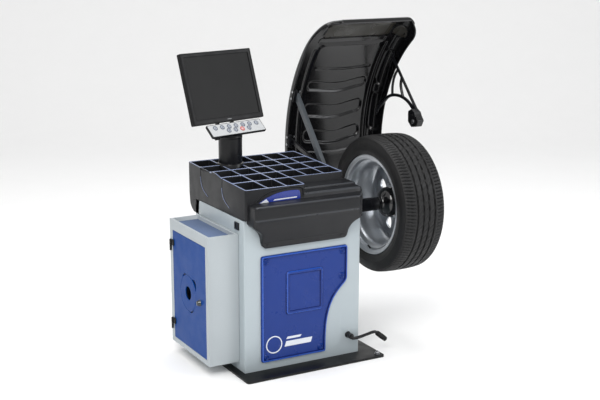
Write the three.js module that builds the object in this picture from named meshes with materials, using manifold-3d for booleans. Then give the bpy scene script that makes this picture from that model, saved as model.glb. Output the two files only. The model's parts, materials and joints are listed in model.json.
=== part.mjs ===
// Wheel balancer with a wheel clamped on its spindle. Millimetres; +X is the wheel side,
// -Y the front, +Z up. The origin is on the floor under the middle of the cabinet.
import * as THREE from "three";
import { mergeVertices } from "three/addons/utils/BufferGeometryUtils.js";
import Module from "manifold-3d";

const wasm = await Module();
wasm.setup();

// ---- Driving dimensions ----
const GAP = 0.3; // between pieces that touch
const BASE = { left: -324, right: 372, front: -341, back: 262, thick: 10 };
const CABINET = { halfWidth: 290, halfDepth: 245, top: 692, wall: 3 };
const BACK_PANEL_TOP = 615;
const PANEL = { left: -212, right: 221, foot: 108, bottom: 45, top: 529, thick: 9 };
const TRAY = { left: -290, right: 265, front: -263, step: -130, back: 318, deck: 772, wall: 4 };
const TRAY_TOP = (y) => 829 + 0.041 * (y + 263); // the top plane rises a little to the back
const COLUMN_LINES = [-182, -90, -7, 83, 170];
const ROW_LINES = [-15, 95, 195];
const RIB = 5;
const TRAY_BLOCK_RIGHT = -3; // right side of the front-left block of pockets
const SLOT_Z = 800; // crossing dividers are slotted to half height: from above along Y, below along X
const POST_ROW = ROW_LINES[2]; // the row of pockets that the monitor post interrupts
const POST_FOOT = 786; // the post stands on low strips that the dividers leave under it
const COWL = { left: -276, right: 289, front: -330, wall: 4, crease: 698, brow: 762 };
const AXIS = { y: -63, z: 645 }; // spindle
const SHAFT_R = 17.5;
const HOUSING = { from: 96, to: 492, outer: 31, bore: 27.5 };
const NOSE_END = 392;
const FLANGE_FACE = 575;
const RIM = { inner: 448.5, outer: 655, flangeR: 233.5, seatR: 218, wellR: 190 };
const TYRE = { inner: 440, outer: 664, outerR: 321 };
const RIM_SEGMENTS = 32;
const SPOKES = 10;
const HUB_R = 78;
const PULLEY = { x: 76, width: 14, drivenR: 45, motorR: 20 };
const MOTOR = { y: 55, z: 545, r: 44, from: 124, to: 250 };
const HOOD = { left: 277, right: 790, arcY: -320, arcZ: 843, r: 769, low: -12, high: 56.2, skin: 4 };
const HOOD_DEPTH = { left: 44, right: 86 };
const HOOD_PIVOT = { y: 90, z: 790 };
const ARM_X = [300, 312]; // the hood arm's two sides
const AXLE_R = 10;
const SENSOR_X = 778; // middle of the measuring arm, inside the hood's right wall
const SENSOR_PIVOTS = [[716, 13.4], [722, 37.2]]; // radius and angle of its two knuckles on the hood
const POST = { x: -132, y: 200, r: 54, top: 985 };
const YAW = THREE.MathUtils.degToRad(13.8);
const MONITOR = { width: 405, height: 322, thick: 44, x: -21, y: -26, bottom: 1048, tilt: 17.5 };
const TILT_PIN = { y: 58, z: 1088 };
const KEYPAD = { width: 310, depth: 68, thick: 13, x: -8, y: -57, z: 1021, tilt: 47.5 };
const KEY = { r: 12.2, high: 3, pitch: 39.7 };
const BOX = { inner: -291, outer: -436, front: -196, back: 207, bottom: 50, top: 627, wall: 3 };
const DOOR = { front: -169, back: 179, bottom: 73, top: 580, thick: 5 };
const DOOR_HOLE = { y: 19, z: 326, r: 31, ring: 82 };
const LOCK = { y: -105, z: 316 };
const HINGE_LINE = { x: BOX.outer - 5.5, y: 190 };
const HINGE_HEIGHTS = [139, 509];
const HINGE_HALF = 26;
const PEDAL = { x: 232, y: -268, z: 88, tip: 385, r: 7 };

// ---- Finishes ----
const finish = (color, roughness, metalness = 0) =>
  new THREE.MeshStandardMaterial({ color, roughness, metalness });
const GREY_PAINT = finish(0xa5afb4, 0.45);
const LIGHT_PAINT = finish(0xc8c8c8, 0.45);
const BLACK_PAINT = finish(0x1c1d1f, 0.35);
const BLUE_PANEL = finish(0x2c3e91, 0.35);
const BLUE_DOOR = finish(0x2a5599, 0.4);
const MAT_BLUE = finish(0x7d91be, 0.8);
const CHARCOAL = finish(0x34363a, 0.5);
const HOOD_BLACK = finish(0x202124, 0.25);
const SCREEN_BLACK = finish(0x2b2b2b, 0.2);
const STEEL = finish(0x9a9da0, 0.35, 1);
const ARM_GREY = finish(0x6f7577, 0.45, 0.4);
const CHROME = finish(0xd8dadc, 0.12, 1);
const RIM_SILVER = finish(0xc4c8cc, 0.28, 0.9);
const RUBBER = finish(0x2a2b2c, 0.8);
const KEY_WHITE = finish(0xe4e6ea, 0.5);
const KEY_RED = finish(0xc8403a, 0.5);

// ---- Solids ----
function solidOf(geometry) {
  const plain = new THREE.BufferGeometry();
  plain.setAttribute("position", geometry.getAttribute("position"));
  plain.setIndex(geometry.index);
  const merged = mergeVertices(plain, 1e-4);
  const triVerts = new Uint32Array(merged.index.array);
  const vertProperties = merged.attributes.position.array;
  const made = new wasm.Manifold(new wasm.Mesh({ numProp: 3, vertProperties, triVerts }));
  if (made.volume() > 0) return made;
  triVerts.reverse(); // the profile ran the other way round
  return new wasm.Manifold(new wasm.Mesh({ numProp: 3, vertProperties, triVerts }));
}

function geometryOf(solid) {
  const mesh = solid.getMesh();
  const geometry = new THREE.BufferGeometry();
  geometry.setAttribute("position", new THREE.BufferAttribute(mesh.vertProperties, 3));
  geometry.setIndex(new THREE.BufferAttribute(mesh.triVerts, 1));
  const flat = geometry.toNonIndexed();
  flat.computeVertexNormals();
  return flat;
}

const joined = (first, ...others) => others.reduce((all, one) => all.add(one), first);
const cut = (first, ...others) => others.reduce((left, one) => left.subtract(one), first);

function box(x, y, z) {
  const geometry = new THREE.BoxGeometry(x[1] - x[0], y[1] - y[0], z[1] - z[0]);
  geometry.translate((x[0] + x[1]) / 2, (y[0] + y[1]) / 2, (z[0] + z[1]) / 2);
  return solidOf(geometry);
}

// Axes of the plane a profile is drawn in, and the direction it is extruded or turned along.
const FRAMES = {
  x: new THREE.Matrix4().set(0, 0, 1, 0, 1, 0, 0, 0, 0, 1, 0, 0, 0, 0, 0, 1), // drawn as (y, z)
  y: new THREE.Matrix4().set(1, 0, 0, 0, 0, 0, -1, 0, 0, 1, 0, 0, 0, 0, 0, 1), // drawn as (x, z)
  z: new THREE.Matrix4(), // drawn as (x, y)
};

function prism(outline, axis, from, to, segments = 8) {
  const shape = outline instanceof THREE.Shape ? outline : shapeOf(outline);
  const geometry = new THREE.ExtrudeGeometry(shape, {
    depth: to - from,
    bevelEnabled: false,
    curveSegments: segments,
  });
  geometry.applyMatrix4(FRAMES[axis]);
  const along = axis === "y" ? to : from;
  geometry.translate(axis === "x" ? along : 0, axis === "y" ? along : 0, axis === "z" ? along : 0);
  return solidOf(geometry);
}

const shapeOf = (points) => new THREE.Shape(points.map(([a, b]) => new THREE.Vector2(a, b)));

function roundedRect(a0, b0, a1, b1, r) {
  const shape = new THREE.Shape();
  shape.moveTo(a0 + r, b0);
  shape.lineTo(a1 - r, b0).absarc(a1 - r, b0 + r, r, -Math.PI / 2, 0);
  shape.lineTo(a1, b1 - r).absarc(a1 - r, b1 - r, r, 0, Math.PI / 2);
  shape.lineTo(a0 + r, b1).absarc(a0 + r, b1 - r, r, Math.PI / 2, Math.PI);
  shape.lineTo(a0, b0 + r).absarc(a0 + r, b0 + r, r, Math.PI, 1.5 * Math.PI);
  return shape;
}

// A body of revolution about a line along X. The profile holds [x, radius] pairs.
function turned(profile, segments = 32, y = 0, z = 0) {
  const points = profile.map(([x, r]) => new THREE.Vector2(r, x));
  const closed = profile[0][1] > 0 ? [...points, points[0]] : points;
  const geometry = new THREE.LatheGeometry(closed, segments);
  geometry.applyMatrix4(new THREE.Matrix4().set(0, 1, 0, 0, 0, 0, 1, 0, 1, 0, 0, 0, 0, 0, 0, 1));
  geometry.translate(0, y, z);
  return solidOf(geometry);
}

const ring = (x0, x1, outer, inner, segments, y, z) =>
  turned([[x0, inner], [x0, outer], [x1, outer], [x1, inner]], segments, y, z);
const rod = (x0, x1, r, segments, y, z) =>
  turned([[x0, 0], [x0, r], [x1, r], [x1, 0]], segments, y, z);

function upright(x, y, r, z0, z1, segments = 24) {
  const geometry = new THREE.CylinderGeometry(r, r, z1 - z0, segments);
  geometry.rotateX(Math.PI / 2);
  geometry.translate(x, y, (z0 + z1) / 2);
  return solidOf(geometry);
}

function bar(points, r, sides = 8) {
  const knots = points.map((p) => new THREE.Vector3(...p));
  const path = new THREE.CatmullRomCurve3(knots, false, "catmullrom", 0.3);
  const section = new THREE.Shape().absarc(0, 0, r, 0, 2 * Math.PI);
  const steps = points.length > 2 ? points.length * 2 : 1;
  return solidOf(
    new THREE.ExtrudeGeometry(section, { steps, extrudePath: path, curveSegments: sides / 2 }),
  );
}

// ---- Assembly ----
const machine = new THREE.Group();

function place(parent, name, solid, material) {
  const geometry = solid.isBufferGeometry ? solid : geometryOf(solid);
  const mesh = new THREE.Mesh(geometry, material);
  mesh.name = name;
  parent.add(mesh);
  return mesh;
}

function group(parent, x, y, z, turnZ = 0, turnX = 0) {
  const made = new THREE.Group();
  made.position.set(x, y, z);
  made.rotation.set(turnX, 0, turnZ, "ZXY");
  parent.add(made);
  return made;
}

// Cabinet on its base plate.
const cabinetBottom = BASE.thick + GAP;

function basePlate() {
  const outline = roundedRect(BASE.left, BASE.front, BASE.right, BASE.back, 12);
  return prism(outline, "z", 0, BASE.thick, 4);
}

function cabinetBody() {
  const { halfWidth: w, halfDepth: d, top, wall } = CABINET;
  const outline = roundedRect(-w, -d, w, d + 40, 5);
  const outside = prism(outline, "z", cabinetBottom, top, 3);
  const inside = box([-w + wall, w - wall], [-d + wall, d + 60], [0, top + 1]);
  const behind = box([-w - 1, w + 1], [d - 2, d + 60], [0, top + 1]);
  const housingHole = rod(w - 10, w + 10, HOUSING.outer + 2, 24, AXIS.y, AXIS.z);
  return cut(outside, inside, behind, housingHole);
}

function backPanel() {
  const { halfWidth: w, halfDepth: d } = CABINET;
  return box([-w, w], [d - 2 + GAP, d + 1], [cabinetBottom, BACK_PANEL_TOP]);
}

// The panel's right edge swings in over the pedal: straight down, a diagonal, then an S-curve.
function panelOutline(inset) {
  const { left, right, foot, bottom, top } = PANEL;
  const shape = new THREE.Shape();
  shape.moveTo(left + inset, bottom + inset);
  shape.lineTo(foot - inset, bottom + inset);
  shape.lineTo(foot - inset, 140);
  shape.bezierCurveTo(foot - inset, 185, foot + 20 - inset, 200, foot + 45 - inset, 232);
  shape.bezierCurveTo(foot + 70 - inset, 262, right - inset, 300, right - inset, 345);
  shape.lineTo(right - inset, top - inset);
  shape.lineTo(left + inset, top - inset);
  return shape;
}

function frontPanel() {
  const back = -CABINET.halfDepth - GAP;
  const plate = prism(panelOutline(0), "y", back - PANEL.thick, back, 6);
  const field = prism(panelOutline(14), "y", back - PANEL.thick - 1, back - PANEL.thick + 2.5, 6);
  const boss = prism(roundedRect(-78, 205, 98, 392, 10), "y", back - PANEL.thick, back - 2, 3);
  return cut(plate, field).add(boss);
}

function powerInlet() {
  const left = -CABINET.halfWidth;
  const body = box([left - 6, left - GAP], [-204, -166], [645, 677]);
  return cut(body, box([left - 7, left - 3], [-198, -172], [651, 671]));
}

// Weight tray: a pan over the cabinet with a raised grid of pockets and a skirt at the back.
function traySide(inset) {
  const shape = new THREE.Shape();
  const { front, back } = TRAY;
  const low = CABINET.top + 3;
  shape.moveTo(front + inset, low);
  shape.lineTo(CABINET.halfDepth + 2 + inset, low);
  shape.lineTo(CABINET.halfDepth + 2 + inset, 622 + 2 * inset);
  shape.quadraticCurveTo(back - inset, 634, back - inset, 712);
  shape.lineTo(back - inset, TRAY_TOP(back) - inset);
  shape.lineTo(front + inset, TRAY_TOP(front) - inset);
  return shape;
}

function weightTray() {
  const { left, right, front, step, back, deck, wall } = TRAY;
  const side = CABINET.halfWidth;
  const hull = prism(traySide(0), "x", left, side, 5);
  const ledge = box([right, side + 1], [front - 1, back + 1], [deck, 900]);
  const frontRight = box([TRAY_BLOCK_RIGHT, side + 1], [front - 1, step], [600, 900]);
  const hollow = prism(traySide(wall), "x", left + wall, side - wall, 5);
  const underDeck = box([left, side], [front, back + 1], [500, deck - wall]);
  const openBelow = box([left + wall, side - wall], [front + wall, back - wall], [690, 700]);
  const pockets = joined(
    box([left + wall, right - wall], [step + wall, back - wall], [deck, 900]),
    box([left + wall, TRAY_BLOCK_RIGHT - wall], [front + wall, step + wall + 1], [deck, 900]),
  );
  const postHole = upright(POST.x, POST.y, POST.r - 8, deck - 20, deck + 20, 16);
  const under = hollow.intersect(underDeck);
  const cleared = cut(under, box([TRAY_BLOCK_RIGHT - wall, side], [front, step + wall], [500, 900]));
  const pan = cut(hull, ledge, frontRight, cleared, openBelow, pockets, postHole);
  return joined(pan, blockWall(), wallBesidePost());
}

// A divider between two rows or columns of pockets, standing on the deck.
function dividerAlongY(x) {
  const { front, back, deck, wall } = TRAY;
  const nearFront = x < TRAY_BLOCK_RIGHT - 20;
  const start = (nearFront ? front : TRAY.step) + wall + GAP;
  const end = back - wall - GAP;
  const top = [[start, deck + GAP], [end, deck + GAP], [end, TRAY_TOP(end)], [start, TRAY_TOP(start)]];
  const rows = nearFront ? [TRAY.step, ...ROW_LINES] : ROW_LINES;
  const half = RIB / 2 + GAP;
  const slots = rows.map((y) => box([x - RIB, x + RIB], [y - half, y + half], [SLOT_Z, 900]));
  return cut(prism(top, "x", x - RIB / 2, x + RIB / 2), ...slots, postClearance());
}

function dividerAlongX(y) {
  const { left, right, deck, wall } = TRAY;
  const start = y === POST_ROW ? POST.x + POST.r + 8 : left + wall + GAP;
  const x = [start, right - wall - GAP];
  const plate = box(x, [y - RIB / 2, y + RIB / 2], [deck + GAP, TRAY_TOP(y)]);
  const crossed = COLUMN_LINES.filter((line) => line > start);
  return cut(plate, ...slotsFromBelow(crossed, y), postClearance());
}

// The left end of the row wall that the post interrupts is moulded with the pan.
function wallBesidePost() {
  const { left, deck, wall } = TRAY;
  const x = [left + wall / 2, POST.x - POST.r - 8];
  return box(x, [POST_ROW - RIB / 2, POST_ROW + RIB / 2], [deck - 1, TRAY_TOP(POST_ROW)]);
}

// The moulded wall between the front block's pockets and the row behind them.
function blockWall() {
  const { left, step, deck, wall } = TRAY;
  const x = [left + wall / 2, TRAY_BLOCK_RIGHT - wall / 2];
  const plate = box(x, [step - RIB / 2, step + RIB / 2], [deck - 1, TRAY_TOP(step)]);
  const crossed = COLUMN_LINES.filter((line) => line < TRAY_BLOCK_RIGHT - 20);
  return cut(plate, ...slotsFromBelow(crossed, step, deck));
}

function slotsFromBelow(lines, y, from = 700) {
  const half = RIB / 2 + GAP;
  return lines.map((x) => box([x - half, x + half], [y - RIB, y + RIB], [from, SLOT_Z + GAP]));
}

const postClearance = () => upright(POST.x, POST.y, POST.r + 7, POST_FOOT, 900, 24);

// Front cowl: hollow, open at the back, its lower part drawn in on both sides.
function cowlSection(inset) {
  const shape = new THREE.Shape();
  const back = TRAY.step - GAP;
  const { front, crease, brow } = COWL;
  shape.moveTo(back + 1, 560);
  shape.lineTo(-258 + inset, 560);
  shape.lineTo(-266 + inset, 576 + inset);
  shape.lineTo(front + inset, crease);
  shape.lineTo(front + inset, brow - inset);
  shape.quadraticCurveTo(front + inset, brow + 6 - inset, front + 10, brow + 8 - inset);
  shape.lineTo(back + 1, 797 - inset);
  return shape;
}

function cowlFace(inset) {
  const shape = new THREE.Shape();
  const { left, right } = COWL;
  shape.moveTo(-190, 564 + inset);
  shape.lineTo(203, 564 + inset);
  shape.quadraticCurveTo(217 - inset, 564 + inset, 219 - inset, 582);
  shape.quadraticCurveTo(222 - inset, 640 + inset, 262 - inset, 655 + inset);
  shape.lineTo(right - inset, 672 + inset);
  shape.lineTo(right - inset, 900);
  shape.lineTo(left + inset, 900);
  shape.lineTo(left + inset, 672 + inset);
  shape.quadraticCurveTo(-222 + inset, 655 + inset, -212 + inset, 600);
  shape.quadraticCurveTo(-209 + inset, 564 + inset, -190, 564 + inset);
  return shape;
}

// The cowl in plan: square on the left, its right front corner swept back to the shroud.
function cowlPlan(inset) {
  const { left, right, front } = COWL;
  const corner = [[right - 49, front], [right - 27, -300], [right - 10, -275], [right + 1, -250]];
  const swept = corner.map(([x, y]) => [x - inset, y]);
  return [[left - 1, 0], [left - 1, front - 1], [swept[0][0], front - 1], ...swept, [right + 1 - inset, 0]];
}

function cowlBlock(inset) {
  const { left, right } = COWL;
  return prism(cowlSection(inset), "x", left + inset, right - inset, 3)
    .intersect(prism(cowlFace(inset), "y", -400, 0, 5))
    .intersect(prism(cowlPlan(inset), "z", 500, 900));
}

function frontCowl() {
  const outer = cowlBlock(0);
  const inner = cowlBlock(COWL.wall);
  const cabinet = box([-400, 400], [-CABINET.halfDepth - GAP, 100], [0, CABINET.top + GAP]);
  const trayBlock = box([-400, TRAY_BLOCK_RIGHT + GAP], [TRAY.front - GAP, 100], [0, 900]);
  const behind = box([-400, 400], [TRAY.step - GAP, 100], [0, 900]);
  return cut(outer, inner, cabinet, trayBlock, behind);
}

// Shroud round the spindle's nose, tapering from the cowl's end to a collar on the housing.
function noseRing(x, y0, y1, z0, z1) {
  const cornerY = (y1 - y0) * 0.22;
  const cornerZ = (z1 - z0) * 0.22;
  return [
    [y0 + cornerY, z0], [y1 - cornerY, z0], [y1, z0 + cornerZ], [y1, z1 - cornerZ],
    [y1 - cornerY, z1], [y0 + cornerY, z1], [y0, z1 - cornerZ], [y0, z0 + cornerZ],
  ].map(([y, z]) => new THREE.Vector3(x, y, z));
}

function ringWalls(rings) {
  const count = rings[0].length;
  const index = [];
  for (let r = 0; r + 1 < rings.length; r += 1) {
    for (let i = 0; i < count; i += 1) {
      const a = r * count + i;
      const b = r * count + ((i + 1) % count);
      index.push(a, b, a + count, b, b + count, a + count);
    }
  }
  return index;
}

function skinned(rings, index) {
  const positions = rings.flat().flatMap((p) => [p.x, p.y, p.z]);
  const geometry = new THREE.BufferGeometry();
  geometry.setAttribute("position", new THREE.Float32BufferAttribute(positions, 3));
  geometry.setIndex(index);
  return solidOf(geometry);
}

function loft(rings) {
  const count = rings[0].length;
  const last = (rings.length - 1) * count;
  const index = ringWalls(rings);
  for (let i = 1; i + 1 < count; i += 1) {
    index.push(0, i + 1, i, last, last + i, last + i + 1);
  }
  return skinned(rings, index);
}

// A loft whose end caps are strips between the outer and the inner half of each ring.
function loftBand(rings) {
  const count = rings[0].length;
  const last = (rings.length - 1) * count;
  const index = ringWalls(rings);
  for (let i = 0; i + 1 < count / 2; i += 1) {
    const j = count - 1 - i;
    index.push(i, j, i + 1, i + 1, j, j - 1);
    index.push(last + i, last + i + 1, last + j, last + i + 1, last + j - 1, last + j);
  }
  return skinned(rings, index);
}

function spindleShroud() {
  const start = CABINET.halfWidth + GAP;
  const outer = (grow, shift) => [
    noseRing(start + shift, -252 - grow, 20 + grow, 640 - grow, 778 + grow),
    noseRing(330, -152 - grow, 5 + grow, 622 - grow, 758 + grow),
    noseRing(365, -112 - grow, -14 + grow, 611 - grow, 734 + grow),
    noseRing(NOSE_END - shift, -101 - grow, -25 + grow, 606 - grow, 708 + grow),
  ];
  const bore = rod(start - 5, NOSE_END + 5, HOUSING.outer + 1, 24, AXIS.y, AXIS.z);
  return cut(loft(outer(0, 0)), loft(outer(-4, 4)).add(loft(outer(-4, -1).slice(0, 2))), bore);
}

// Spindle: housing on its bridge, shaft on two bearings, flange, cone, quick nut and pulleys.
function spindleBridge() {
  const { halfDepth: d, wall } = CABINET;
  const x = [110, 118];
  const plate = box(x, [-d + wall + GAP, d - 2 - GAP], [440, CABINET.top - 4]);
  const foot = box([118, 150], [-d + wall + GAP, d - 2 - GAP], [440, 446]);
  return cut(
    plate.add(foot),
    rod(100, 130, HOUSING.outer + GAP, 32, AXIS.y, AXIS.z),
    rod(100, 130, 12, 16, MOTOR.y, MOTOR.z),
  );
}

function spindleHousing() {
  return ring(HOUSING.from, HOUSING.to, HOUSING.outer, HOUSING.bore, 32);
}

const bearing = (x) => ring(x, x + 16, HOUSING.bore - GAP, SHAFT_R + GAP, 24);

function spindleShaft() {
  return turned([
    [60, 0], [60, SHAFT_R - 1], [61, SHAFT_R], [738, SHAFT_R], [742, SHAFT_R - 4], [742, 0],
  ], 24);
}

function drivenPulley() {
  const { x, width, drivenR: r } = PULLEY;
  const inner = SHAFT_R + GAP;
  return turned([
    [x, inner], [x, r + 4], [x + 2, r + 4], [x + 2, r], [x + width - 2, r],
    [x + width - 2, r + 4], [x + width, r + 4], [x + width, inner],
  ], 32);
}

function motorPulley() {
  const { x, width, motorR: r } = PULLEY;
  const wheel = turned([
    [x, 0], [x, r + 4], [x + 2, r + 4], [x + 2, r], [x + width - 2, r],
    [x + width - 2, r + 4], [x + width, r + 4], [x + width, 8], [MOTOR.from - GAP, 8], [MOTOR.from - GAP, 0],
  ], 24);
  return wheel;
}

function driveMotor() {
  const { from, to, r } = MOTOR;
  return turned([
    [from, 0], [from, r], [to - 12, r], [to, r - 10], [to, 0],
  ], 24, MOTOR.y, MOTOR.z);
}

function beltOutline(grow) {
  const dy = MOTOR.y - AXIS.y;
  const dz = MOTOR.z - AXIS.z;
  const distance = Math.hypot(dy, dz);
  const along = Math.atan2(dz, dy);
  const spread = Math.acos((PULLEY.drivenR - PULLEY.motorR) / distance);
  const shape = new THREE.Shape();
  shape.absarc(0, 0, PULLEY.drivenR + grow, along + spread, along - spread + 2 * Math.PI);
  shape.absarc(dy, dz, PULLEY.motorR + grow, along - spread, along + spread);
  return shape;
}

function driveBelt() {
  const x0 = PULLEY.x + 2 + GAP;
  const x1 = PULLEY.x + PULLEY.width - 2 - GAP;
  const outer = prism(beltOutline(2.6), "x", x0, x1, 12);
  return cut(outer, prism(beltOutline(GAP), "x", x0 - 1, x1 + 1, 12));
}

// The flange's bell is hollow towards the wheel; its front rim is the mounting face.
function mountingFlange() {
  const inner = SHAFT_R + GAP;
  return turned([
    [498, inner], [498, 30], [512, 36], [524, 54], [536, 66], [548, 71], [FLANGE_FACE - 1, 71],
    [FLANGE_FACE, 68], [FLANGE_FACE, 52], [562, 46], [556, 30], [556, inner],
  ], 28);
}

function centringCone() {
  const inner = SHAFT_R + GAP;
  return turned([[598.6, inner], [598.6, 33], [606, 38], [632, 50], [638, 50], [638, inner]], 32);
}

function quickNut() {
  const inner = SHAFT_R + GAP;
  const body = turned([
    [639, inner], [639, 44], [648, 46], [662, 34], [700, 30], [704, 26], [704, inner],
  ], 32);
  const grip = (turn) => {
    const handle = box([668, 686], [-8, 8], [26, 82]);
    return handle.rotate([turn, 0, 0]);
  };
  return joined(body, grip(0), grip(180));
}

// Rim: barrel with two flanges, bead seats and a well, and a dished disc with ten windows.
function rimBarrel() {
  const { inner: a, outer: b, flangeR: f, seatR: s, wellR: w } = RIM;
  return turned([
    [a, f - 3], [a, f], [a + 5, f], [a + 8, s + 3], [a + 27, s], [a + 34, w + 4], [a + 60, w],
    [b - 72, w], [b - 40, s - 4], [b - 26, s], [b - 8, s + 3], [b - 5, f], [b, f], [b, f - 3],
    [b - 3, f - 4], [b - 6, s - 3], [b - 26, s - 5], [b - 42, s - 10], [b - 74, w - 6], [a + 60, w - 6],
    [a + 31, w - 2], [a + 23, s - 6], [a + 6, s - 3], [a + 2, f - 4],
  ], RIM_SEGMENTS);
}

function rimDisc() {
  const w = RIM.wellR;
  const disc = turned([
    [FLANGE_FACE + GAP, 34], [FLANGE_FACE + GAP, HUB_R], [598, HUB_R + 14], [622, 130], [628, w],
    [630, w + 26], [644, w + 26], [640, w - 2], [636, 130], [616, HUB_R + 8], [604, 60], [598, 34],
  ], RIM_SEGMENTS);
  const windowOutline = [[-9, 98], [9, 98], [26, 178], [20, 186], [-20, 186], [-26, 178]];
  const windowCut = prism(windowOutline, "x", 560, 660);
  const windows = Array.from({ length: SPOKES }, (_, i) => windowCut.rotate([(360 / SPOKES) * i, 0, 0]));
  return cut(disc, ...windows);
}

function tyre() {
  const { inner: a, outer: b, outerR: r } = TYRE;
  const lip = RIM.inner;
  const half = [
    [lip + 13, 221], [lip + 8.8, 224.2], [lip + 6.2, 235], [lip + 0.5, 236.5],
    [a + 2, 252], [a, 276], [a + 6, 298], [a + 22, 314],
  ];
  const mirror = (points) => points.map(([x, y]) => [a + b - x, y]).reverse();
  const inside = [
    [a + 24, 303], [a + 13, 276], [a + 14, 256], [lip + 16, 238],
    [lip + 24, 222.5],
  ];
  const crown = [[(a + b) / 2, r]];
  return turned([...half, ...crown, ...mirror(half), ...mirror(inside), ...inside], RIM_SEGMENTS);
}

// Hood: a curved pan. Rows run across it from wall to wall, from its foot to its top edge.
function hoodRow(angle, x0, x1, skin, depths, inset) {
  const turn = THREE.MathUtils.degToRad(angle);
  const at = (x, depth) => {
    const r = HOOD.r - depth;
    return new THREE.Vector3(x, HOOD.arcY + r * Math.cos(turn), HOOD.arcZ + r * Math.sin(turn));
  };
  const bend = 16;
  const s = skin + inset;
  const left = x0 + inset;
  const right = x1 - inset;
  const row = [at(left, Math.max(depths[0], s + 1)), at(left, s + bend), at(left + bend, s)];
  const spans = 6;
  for (let i = 1; i < spans; i += 1) row.push(at(left + bend + ((right - left - 2 * bend) * i) / spans, s));
  row.push(at(right - bend, s), at(right, s + bend), at(right, Math.max(depths[1], s + 1)));
  return row;
}

function hoodShell() {
  const { left, right, low, high, skin } = HOOD;
  const { left: dl, right: dr } = HOOD_DEPTH;
  const rows = [];
  const straightEnd = 40;
  for (let a = low; a < straightEnd; a += 6) rows.push([a, left, right, 0, dl, dr]);
  const cornerSteps = 5;
  for (let i = 0; i <= cornerSteps; i += 1) {
    const t = i / cornerSteps;
    const drop = 1 - Math.sqrt(1 - t * t * 0.97);
    const a = straightEnd + (high - 1.6 - straightEnd) * Math.sin((t * Math.PI) / 2);
    rows.push([a, left + 128 * drop, right - 14 * Math.max(0, drop - 0.3), 0, dl, dr - 12 * drop]);
  }
  const ends = rows[rows.length - 1];
  rows.push([high, ends[1] + 10, ends[2] - 6, 10, dl, ends[5]]);
  rows.push([high + 0.3, ends[1] + 14, ends[2] - 8, 36, dl, ends[5]]);
  const outer = rows.map(([a, x0, x1, s, l, r]) => hoodRow(a, x0, x1, s, [l, r], 0));
  const inner = rows.map(([a, x0, x1, s, l, r], i) =>
    hoodRow(i < rows.length - 2 ? a : a - 0.35, x0, x1, s, [l, r], skin));
  const last = inner.length - 1;
  inner[last] = hoodRow(high - 0.05, ends[1] + 14, ends[2] - 8, 36, [dl, ends[5]], skin / 4);
  const rings = outer.map((row, i) => [...row, ...inner[i].slice().reverse()]);
  return cut(joined(loftBand(rings), ...sensorLugs()), sensorPin(GAP));
}

// A flat bar in a plane of constant X, from one (y, z) point to another.
function strut(from, to, width, x0, x1) {
  const [dy, dz] = [to[0] - from[0], to[1] - from[1]];
  const length = Math.hypot(dy, dz);
  const [ny, nz] = [(-dz / length) * (width / 2), (dy / length) * (width / 2)];
  const corners = [
    [from[0] + ny, from[1] + nz], [from[0] - ny, from[1] - nz],
    [to[0] - ny, to[1] - nz], [to[0] + ny, to[1] + nz],
  ];
  return prism(corners, "x", x0, x1);
}

const HOOD_INNER = HOOD.left + HOOD.skin + GAP;

// A point of the hood's cross-section, by radius and angle about the arc's centre.
function hoodPoint(r, degrees) {
  const turn = THREE.MathUtils.degToRad(degrees);
  return [HOOD.arcY + r * Math.cos(turn), HOOD.arcZ + r * Math.sin(turn)];
}

const hoodPad = (r, angle, halfAngle, width, x0, x1) =>
  strut(hoodPoint(r, angle - halfAngle), hoodPoint(r, angle + halfAngle), width, x0, x1);

// The arm is a welded fork: two flat bars from the pivot's stub axle to pads on the hood.
function hoodArm() {
  const pivot = [HOOD_PIVOT.y, HOOD_PIVOT.z];
  const upper = strut(pivot, hoodPoint(742, 21.5), 30, ...ARM_X);
  const lower = strut(pivot, hoodPoint(744, 3.2), 22, ...ARM_X);
  const pads = [21.5, 3.2].map((a) => hoodPad(732, a, 1.8, 24, HOOD_INNER, ARM_X[0] + 1));
  const hub = rod(ARM_X[0] - 4, ARM_X[1] + 6, 24, 24, ...pivot);
  const axle = rod(TRAY.right + 2, ARM_X[0], AXLE_R, 20, ...pivot);
  return joined(upper, lower, ...pads, hub, axle);
}

function hoodBearingBracket() {
  const x = CABINET.halfWidth;
  const { y, z } = HOOD_PIVOT;
  const tray = TRAY.right + GAP;
  const outer = x + GAP + 4;
  const sleeve = rod(tray, outer + 1, 17, 20, y, z);
  const plate = box([tray, outer], [y - 40, y + 40], [TRAY.deck + GAP, TRAY.deck + 8]);
  const web = box([tray, outer], [y - 16, y + 16], [TRAY.deck + GAP, z]);
  const wing = box([x + GAP, outer], [y - 40, y + 40], [620, TRAY.deck + 8]);
  const bore = rod(tray - 5, outer + 5, AXLE_R + GAP, 20, y, z);
  return cut(joined(plate, web, sleeve, wing), bore);
}

// Measuring arm: a straight rod with a curved lattice under it and a box-shaped head. It turns
// on one long pin between two lugs on the hood's right wall.
const KNUCKLE = { r: 7, half: 18, lug: 8, pinR: 3 };
const pivotEnds = SENSOR_PIVOTS.map(([r, angle]) => new THREE.Vector2(...hoodPoint(r, angle)));
const pivotLine = pivotEnds[1].clone().sub(pivotEnds[0]).normalize();

// A point on the pivot line, at a distance from its lower (0) or upper (1) knuckle.
const onPivot = (end, along) => pivotEnds[end].clone().addScaledVector(pivotLine, along).toArray();

function sensorLugs() {
  const near = KNUCKLE.half + GAP;
  const far = near + KNUCKLE.lug;
  const x = [SENSOR_X - KNUCKLE.r - 1, HOOD.right - 1];
  return [
    strut(onPivot(0, -near), onPivot(0, -far), 2 * KNUCKLE.r + 6, ...x),
    strut(onPivot(1, near), onPivot(1, far), 2 * KNUCKLE.r + 6, ...x),
  ];
}

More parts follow.
